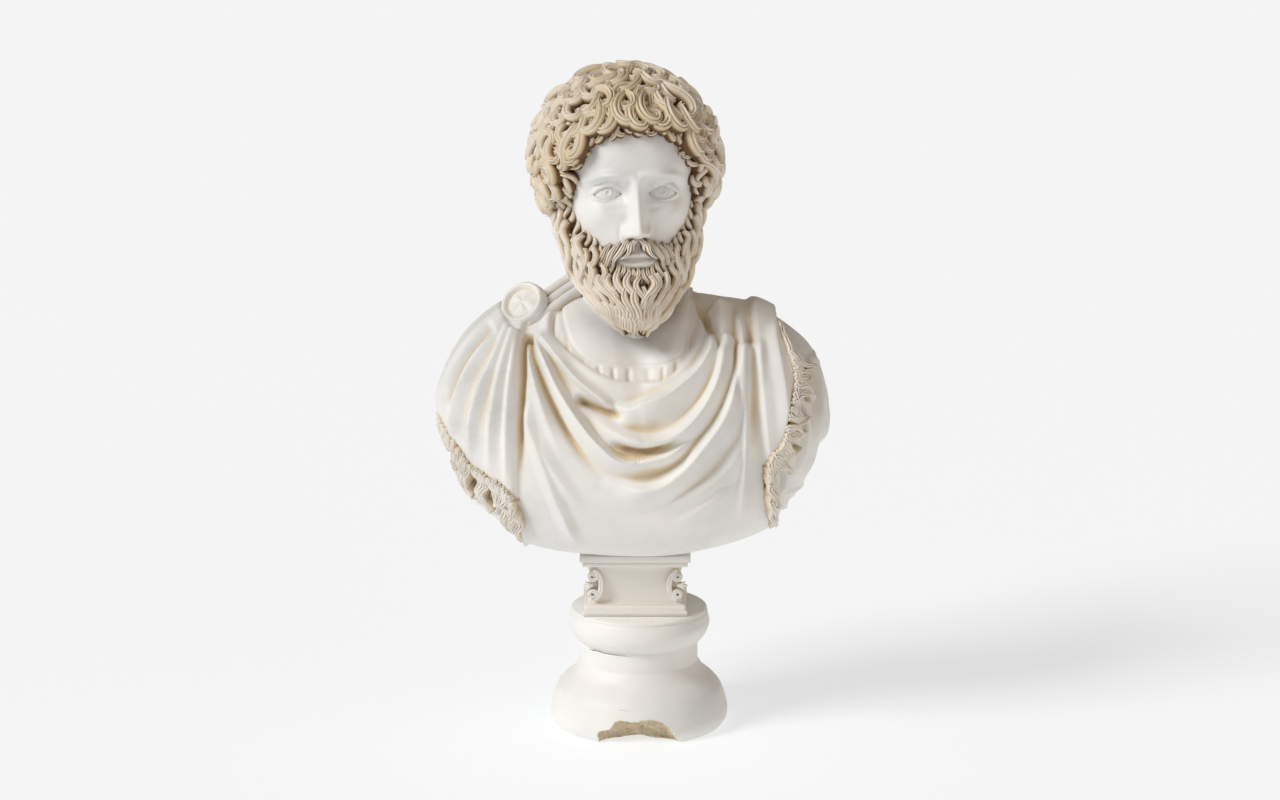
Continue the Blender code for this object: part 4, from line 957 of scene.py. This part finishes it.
def addTufts(carving, line, groups):
    dense = curveThrough(line, 300)
    for number, ((first, last), tip, count, bow, wave) in enumerate(groups):
        for k in range(count):
            share = k / max(count - 1, 1)
            start = dense[int((first + (last - first) * share) * 299)]
            run = np.array(tip) + (2.5 * (share - 0.5), 4 * (share - 0.5)) - start
            length = math.hypot(*run)
            t = np.linspace(-0.08, 1, tuft["sections"])
            hang = np.clip(t, 0, 1)
            sway = bow * np.sin(math.pi * hang) + wave * np.sin(2 * math.pi * t * length / 38 + number)
            sway = sway * ease(0, 0.25, t) / length
            lift = 3 - 5 * ease(0, 0.4, t) + 2.5 * np.sin(math.pi * hang) + 1.2 * (k % 2)
            path, way = onTorso(start[0] + run[0] * t + run[1] * sway,
                                start[1] + run[1] * t - run[0] * sway, lift)
            twist = 0.35 * np.sin(2 * math.pi * t * length / 19 + k)[:, None]
            way = unitOf(way + twist * np.array((run[1], 0, -run[0])) / length)
            carving.addBand(path, way, tuft["halfWidth"] * (1.0 - 0.8 * t**3),
                            tuft["height"] * (1 - 0.4 * t**2), 9, 2, deepest=tuft["deepest"])


def makeFringes():
    carving = Carving()
    addTufts(carving, rightFringe, rightTufts)
    addTufts(carving, leftFringe, leftTufts)
    carving.toPiece("cloak_fringes", fringeMarble)


makeBrooch()
makeFringes()


# index tablet with its mouldings and scrolls

tablet = {
    "half": 61.0, "deep": 52.0, "height": 73.0, "offsetX": -4.5, "offsetY": 2.0, "hollow": 5.0,
    # height and how far the moulding stands out
    "profile": [(0, 0), (5.4, 0), (6.4, -0.4), (7.0, -2.5), (9.5, -2.2), (12.0, -2.5), (12.8, -3.4),
                (14, -6.5), (20, -7.8), (36, -8.5), (52, -7.8), (58, -6.5), (59, -5), (59.5, -0.6),
                (61.5, 0.2), (64.2, -0.2), (64.9, -1.2), (65.7, 2.9), (67.5, 3.5), (72.4, 3.5), (73, 3.0)],
    "grooves": (-3.4, -0.4, -1.2, -5),
    "scrollHalf": 3.6, "scrollRelief": 6.0, "scrollHeight": 16.5, "scrollEye": 5.6, "scrollInset": 5.5,
    "leafLeans": (-0.9, 0, 0.9),
}


def scrollLine():
    # a C whose two ends roll up, drawn with its open side towards the tablet's edge
    t = np.linspace(0, 1, 30)
    roll = math.pi * (1.5 + 2.4 * t)
    radius, inset = tablet["scrollEye"] * (1 - 0.72 * t), tablet["scrollInset"]
    top = np.stack([inset + radius * np.cos(roll), 10.9 - radius * np.sin(roll)], 1)
    bend = np.linspace(math.pi / 2, -math.pi / 2, 30)[1:-1]
    back = np.stack([inset + 10.5 * np.cos(bend), tablet["scrollHeight"] * np.sin(bend)], 1)
    low = top * (1, -1)
    return np.vstack([top[::-1], back, low])


def makeTablet():
    carving = Carving()
    rows, shades = [], []
    for z, out in tablet["profile"]:
        half, deep = tablet["half"] + out, tablet["deep"] + out
        hollow = tablet["hollow"] if 14 <= z <= 59.2 else 0
        rows.append([(half * a, deep * b + (hollow * (1 - a * a) if b == -1 else 0), z)
                     for a, b in squareLoop(49)])
        # painted shade: the moulding's grooves are painted cream
        shades.append(0.5 if out in tablet["grooves"] else 0.05)
    grid = np.array(rows) + (tablet["offsetX"], tablet["offsetY"], -tablet["height"])
    carving.addGrid(grid, np.array(shades)[:, None])
    middle = 36.5 - tablet["height"]
    front = tablet["offsetY"] - tablet["deep"] + 6.0
    line = scrollLine()
    for side in (-1, 1):
        x = side * (tablet["half"] - tablet["scrollInset"] - line[:, 0]) + tablet["offsetX"]
        z = line[:, 1] + middle
        ends = np.minimum(np.linspace(0, 1, len(line)), np.linspace(1, 0, len(line))) * 2
        path = np.stack([x, front + 0 * x, z], 1)
        carving.addBand(path, np.tile((0, -1.0, 0), (len(line), 1)),
                        tablet["scrollHalf"] * (0.4 + 0.6 * ease(0, 0.6, ends)),
                        tablet["scrollRelief"] * (1.1 - 0.35 * ease(0.2, 0.7, ends)), 6, 2, 13, 0.3,
                        shade=0.7)
        for lean in tablet["leafLeans"]:
            t = np.linspace(0, 1, 12)
            x = side * (tablet["half"] - 10 + (9 - 3 * abs(lean)) * t) + tablet["offsetX"]
            leaf = np.stack([x, front - 1.5 * np.sin(math.pi * t), middle + 4.5 * lean * t**1.5], 1)
            carving.addBand(leaf, np.tile((0, -1.0, 0), (12, 1)), 2.4 * (1 - 0.75 * t**2), 4, 5, shade=0.6)
    carving.toPiece("index_tablet", clothMarble)


makeTablet()


# turned socle with the bite out of its foot

socle = {
    "height": 0.141, "footRadius": 0.104, "footHeight": 0.070, "neckRadius": 0.069, "discRadius": 0.083,
    "discHeight": 0.039, "rim": 0.004, "sides": 320,
    "biteWidth": 0.094, "biteDepth": 0.040, "biteHeight": 0.032,
    "stone": rgb(214, 200, 172), "stoneDark": rgb(188, 172, 142), "pit": rgb(128, 108, 78),
    "crack": rgb(88, 78, 64),
    # hairline cracks: height, left and right end, thickness
    "cracks": ((0.0985, -0.060, -0.002, 0.0011), (0.0415, -0.026, -0.004, 0.0006)),
}


def socleProfile():
    neckTop = socle["height"] - socle["discHeight"]
    foot = [(0.945, 0), (0.955, 0.01), (1.0, 0.13), (1.0, 0.30), (0.94, 0.60), (0.86, 0.76), (0.74, 0.92)]
    foot = [(socle["footRadius"] * r, socle["footHeight"] * h) for r, h in foot]
    disc = [(0.90, 0.06), (0.965, 0.27), (1.0, 0.52), (0.98, 0.72)]
    rim = 1 - socle["rim"] / socle["discHeight"]
    top = [(0.968, rim - 0.02), (0.955, rim), (0.962, rim + 0.02), (0.96, rim + 0.06), (0.93, 1.0),
           (0.6, 1.0)]
    disc, top = ([(socle["discRadius"] * r, neckTop + socle["discHeight"] * h) for r, h in rows]
                 for rows in (disc, top))
    foot = curveThrough(foot + [(socle["neckRadius"], socle["footHeight"] + 0.006)], 64)
    neck = [(socle["neckRadius"], z) for z in np.linspace(socle["footHeight"] + 0.009, neckTop, 14)]
    return np.maximum(np.vstack([foot, neck, curveThrough(disc, 36), top]), 0)


def socleFinish():
    # rough yellowish stone in the bite, and two hairline cracks, under the disc and over the bite
    finish = Finish("weathered socle marble", **{"Specular IOR Level": 0.4})
    broken = finish.attribute("broken")
    cloudy = finish.noise(9.0, 5.0)
    fine = finish.noise(90.0, 5.0, 0.65)
    coarse = finish.noise(240.0, 3.0, 0.7)
    place = finish.node("ShaderNodeSeparateXYZ", {}, {0: finish.place()})
    x, y, z = (Socket(finish, place.socket.node.outputs[k]) for k in range(3))
    wander = (finish.noise(70.0, 3.0) - 0.5)
    cracks = []
    for height, left, right, thick in socle["cracks"]:
        away = (z - height + wander * 0.006).maths("ABSOLUTE", 0)
        reach = x.between(left, left + 0.006) * (1 - x.between(right - 0.03, right))
        reach = reach * (1 - y.between(-0.02, 0.0))
        cracks.append((1 - away.between(thick * 0.3, thick)) * reach)
    crack = (cracks[0] + cracks[1]).clamped()
    base = finish.mix(cloudy.between(0.35, 0.7), marble["open"], marble["cool"])
    base = finish.mix((fine.between(0.55, 0.75) * 0.22), base, marble["cream"])
    stone = finish.mix(fine.between(0.35, 0.65), socle["stone"], socle["stoneDark"])
    stone = finish.mix(coarse.between(0.56, 0.7), stone, socle["pit"])
    base = finish.mix(broken, base, stone)
    base = finish.mix(crack * 0.8, base, socle["crack"])
    finish.feed("Base Color", base)
    finish.feed("Roughness", 0.5 + (fine - 0.5) * 0.12 + broken * 0.35)
    height = fine * 0.4 + coarse * (0.2 + broken * 2.4) - crack * 2
    finish.feed("Normal", finish.bumped(height, 0.25, 0.0009))
    return finish.material


def breakFoot(piece):
    # the bite is cut by a knobbly ball set low at the front
    deep = socle["biteDepth"] + 0.018
    ball = ballGrid(70, 110)
    x, y, z = np.moveaxis(ball, -1, 0)
    rough = 1 + 0.035 * np.sin(9 * x + 5 * z) + 0.03 * np.sin(13 * z + 7 * x)
    rough += 0.012 * np.sin(31 * x + 17 * y) * np.sin(27 * z + 11 * x)
    radii = np.array([socle["biteWidth"] * 0.6, deep, socle["biteHeight"] + 0.009])
    centre = np.array([-0.002, -socle["footRadius"] + socle["biteDepth"] - deep + 0.003, -0.008])
    cutting = Carving()
    cutting.addGrid(ball * rough[..., None] * radii + centre)
    cutter = newObject("bite", newMesh("bite", cutting.points[0].tolist(), cutting.faces))
    cut = piece.modifiers.new("bite", "BOOLEAN")
    cut.operation, cut.solver, cut.object = "DIFFERENCE", "EXACT", cutter
    ready = piece.evaluated_get(bpy.context.evaluated_depsgraph_get())
    carved = bpy.data.meshes.new_from_object(ready)
    piece.modifiers.clear()
    piece.data = carved
    bpy.data.objects.remove(cutter)
    profile = socleProfile()
    broken = carved.attributes.new("broken", "FLOAT", "FACE")
    for face in carved.polygons:
        x, y, z = face.center
        inside = math.hypot(x, y) < np.interp(z, profile[:64, 1], profile[:64, 0]) - 0.0008
        broken.data[face.index].value = 1.0 if inside and z < 0.045 and face.normal.z > -0.95 else 0.0
        face.use_smooth = True


def makeSocle():
    carving = Carving()
    angle = fullTurn(socle["sides"])
    grid = np.array([np.stack([r * np.cos(angle), r * np.sin(angle), 0 * angle + h], 1)
                     for r, h in socleProfile()])
    carving.addGrid(grid, 0.0)
    piece = carving.toPiece("turned_socle", socleFinish(), "socle", figureUnits=False)
    breakFoot(piece)


makeSocle()


# floor, lights and camera

stage = {
    "floorHalf": 30, "paper": 0.45, "glow": 0.625, "glowTint": (0.966, 0.988, 1.012, 1),
    "sky": 0.22, "skyTint": (1.0, 0.895, 0.785, 1),
    # name, strength, softness, tint, the way it shines
    "lamps": (("key", 2.15, 22, (0.985, 0.99, 1.0), (0.70, 0.40, -0.60)),
              ("fill", 0.4, 60, (1.0, 0.82, 0.63), (-0.75, 0.50, -0.35))),
    "lens": 111.85, "eye": (0.00116, -4.5, 1.46), "lookDown": 13.39,
}


def makeStage():
    half = stage["floorHalf"]
    mesh = newMesh("floor", [(-half, -half, 0), (half, -half, 0), (half, half, 0), (-half, half, 0)],
                   [(0, 1, 2, 3)])
    floor = newObject("floor", mesh)
    paper = Finish("studio paper", **{
        "Base Color": (stage["paper"],) * 3 + (1,), "Specular IOR Level": 0.1,
        "Emission Color": stage["glowTint"], "Emission Strength": stage["glow"]})
    paper.feed("Roughness", 0.92 + paper.noise(2.0, 2.0) * 0.05)
    mesh.materials.append(paper.material)

    world = bpy.data.worlds.new("studio")
    bpy.context.scene.world = world
    world.use_nodes = True
    background = world.node_tree.nodes["Background"]
    background.inputs["Color"].default_value = stage["skyTint"]
    background.inputs["Strength"].default_value = stage["sky"]
    bpy.context.scene.view_settings.view_transform = "Standard"

    for name, strength, softness, tint, (x, y, z) in stage["lamps"]:
        sun = bpy.data.lights.new(name, "SUN")
        sun.energy, sun.angle, sun.color = strength, math.radians(softness), tint
        lamp = newObject(name, sun)
        lamp.rotation_euler = (math.atan2(math.hypot(x, y), -z), 0, math.atan2(y, x) - math.pi / 2)

    camera = bpy.data.cameras.new("camera")
    camera.sensor_width, camera.lens = 36, stage["lens"]
    eye = newObject("camera", camera)
    eye.location = stage["eye"]
    eye.rotation_euler = (math.radians(90 - stage["lookDown"]), 0, 0)
    bpy.context.scene.camera = eye


makeStage()
print("stage set")
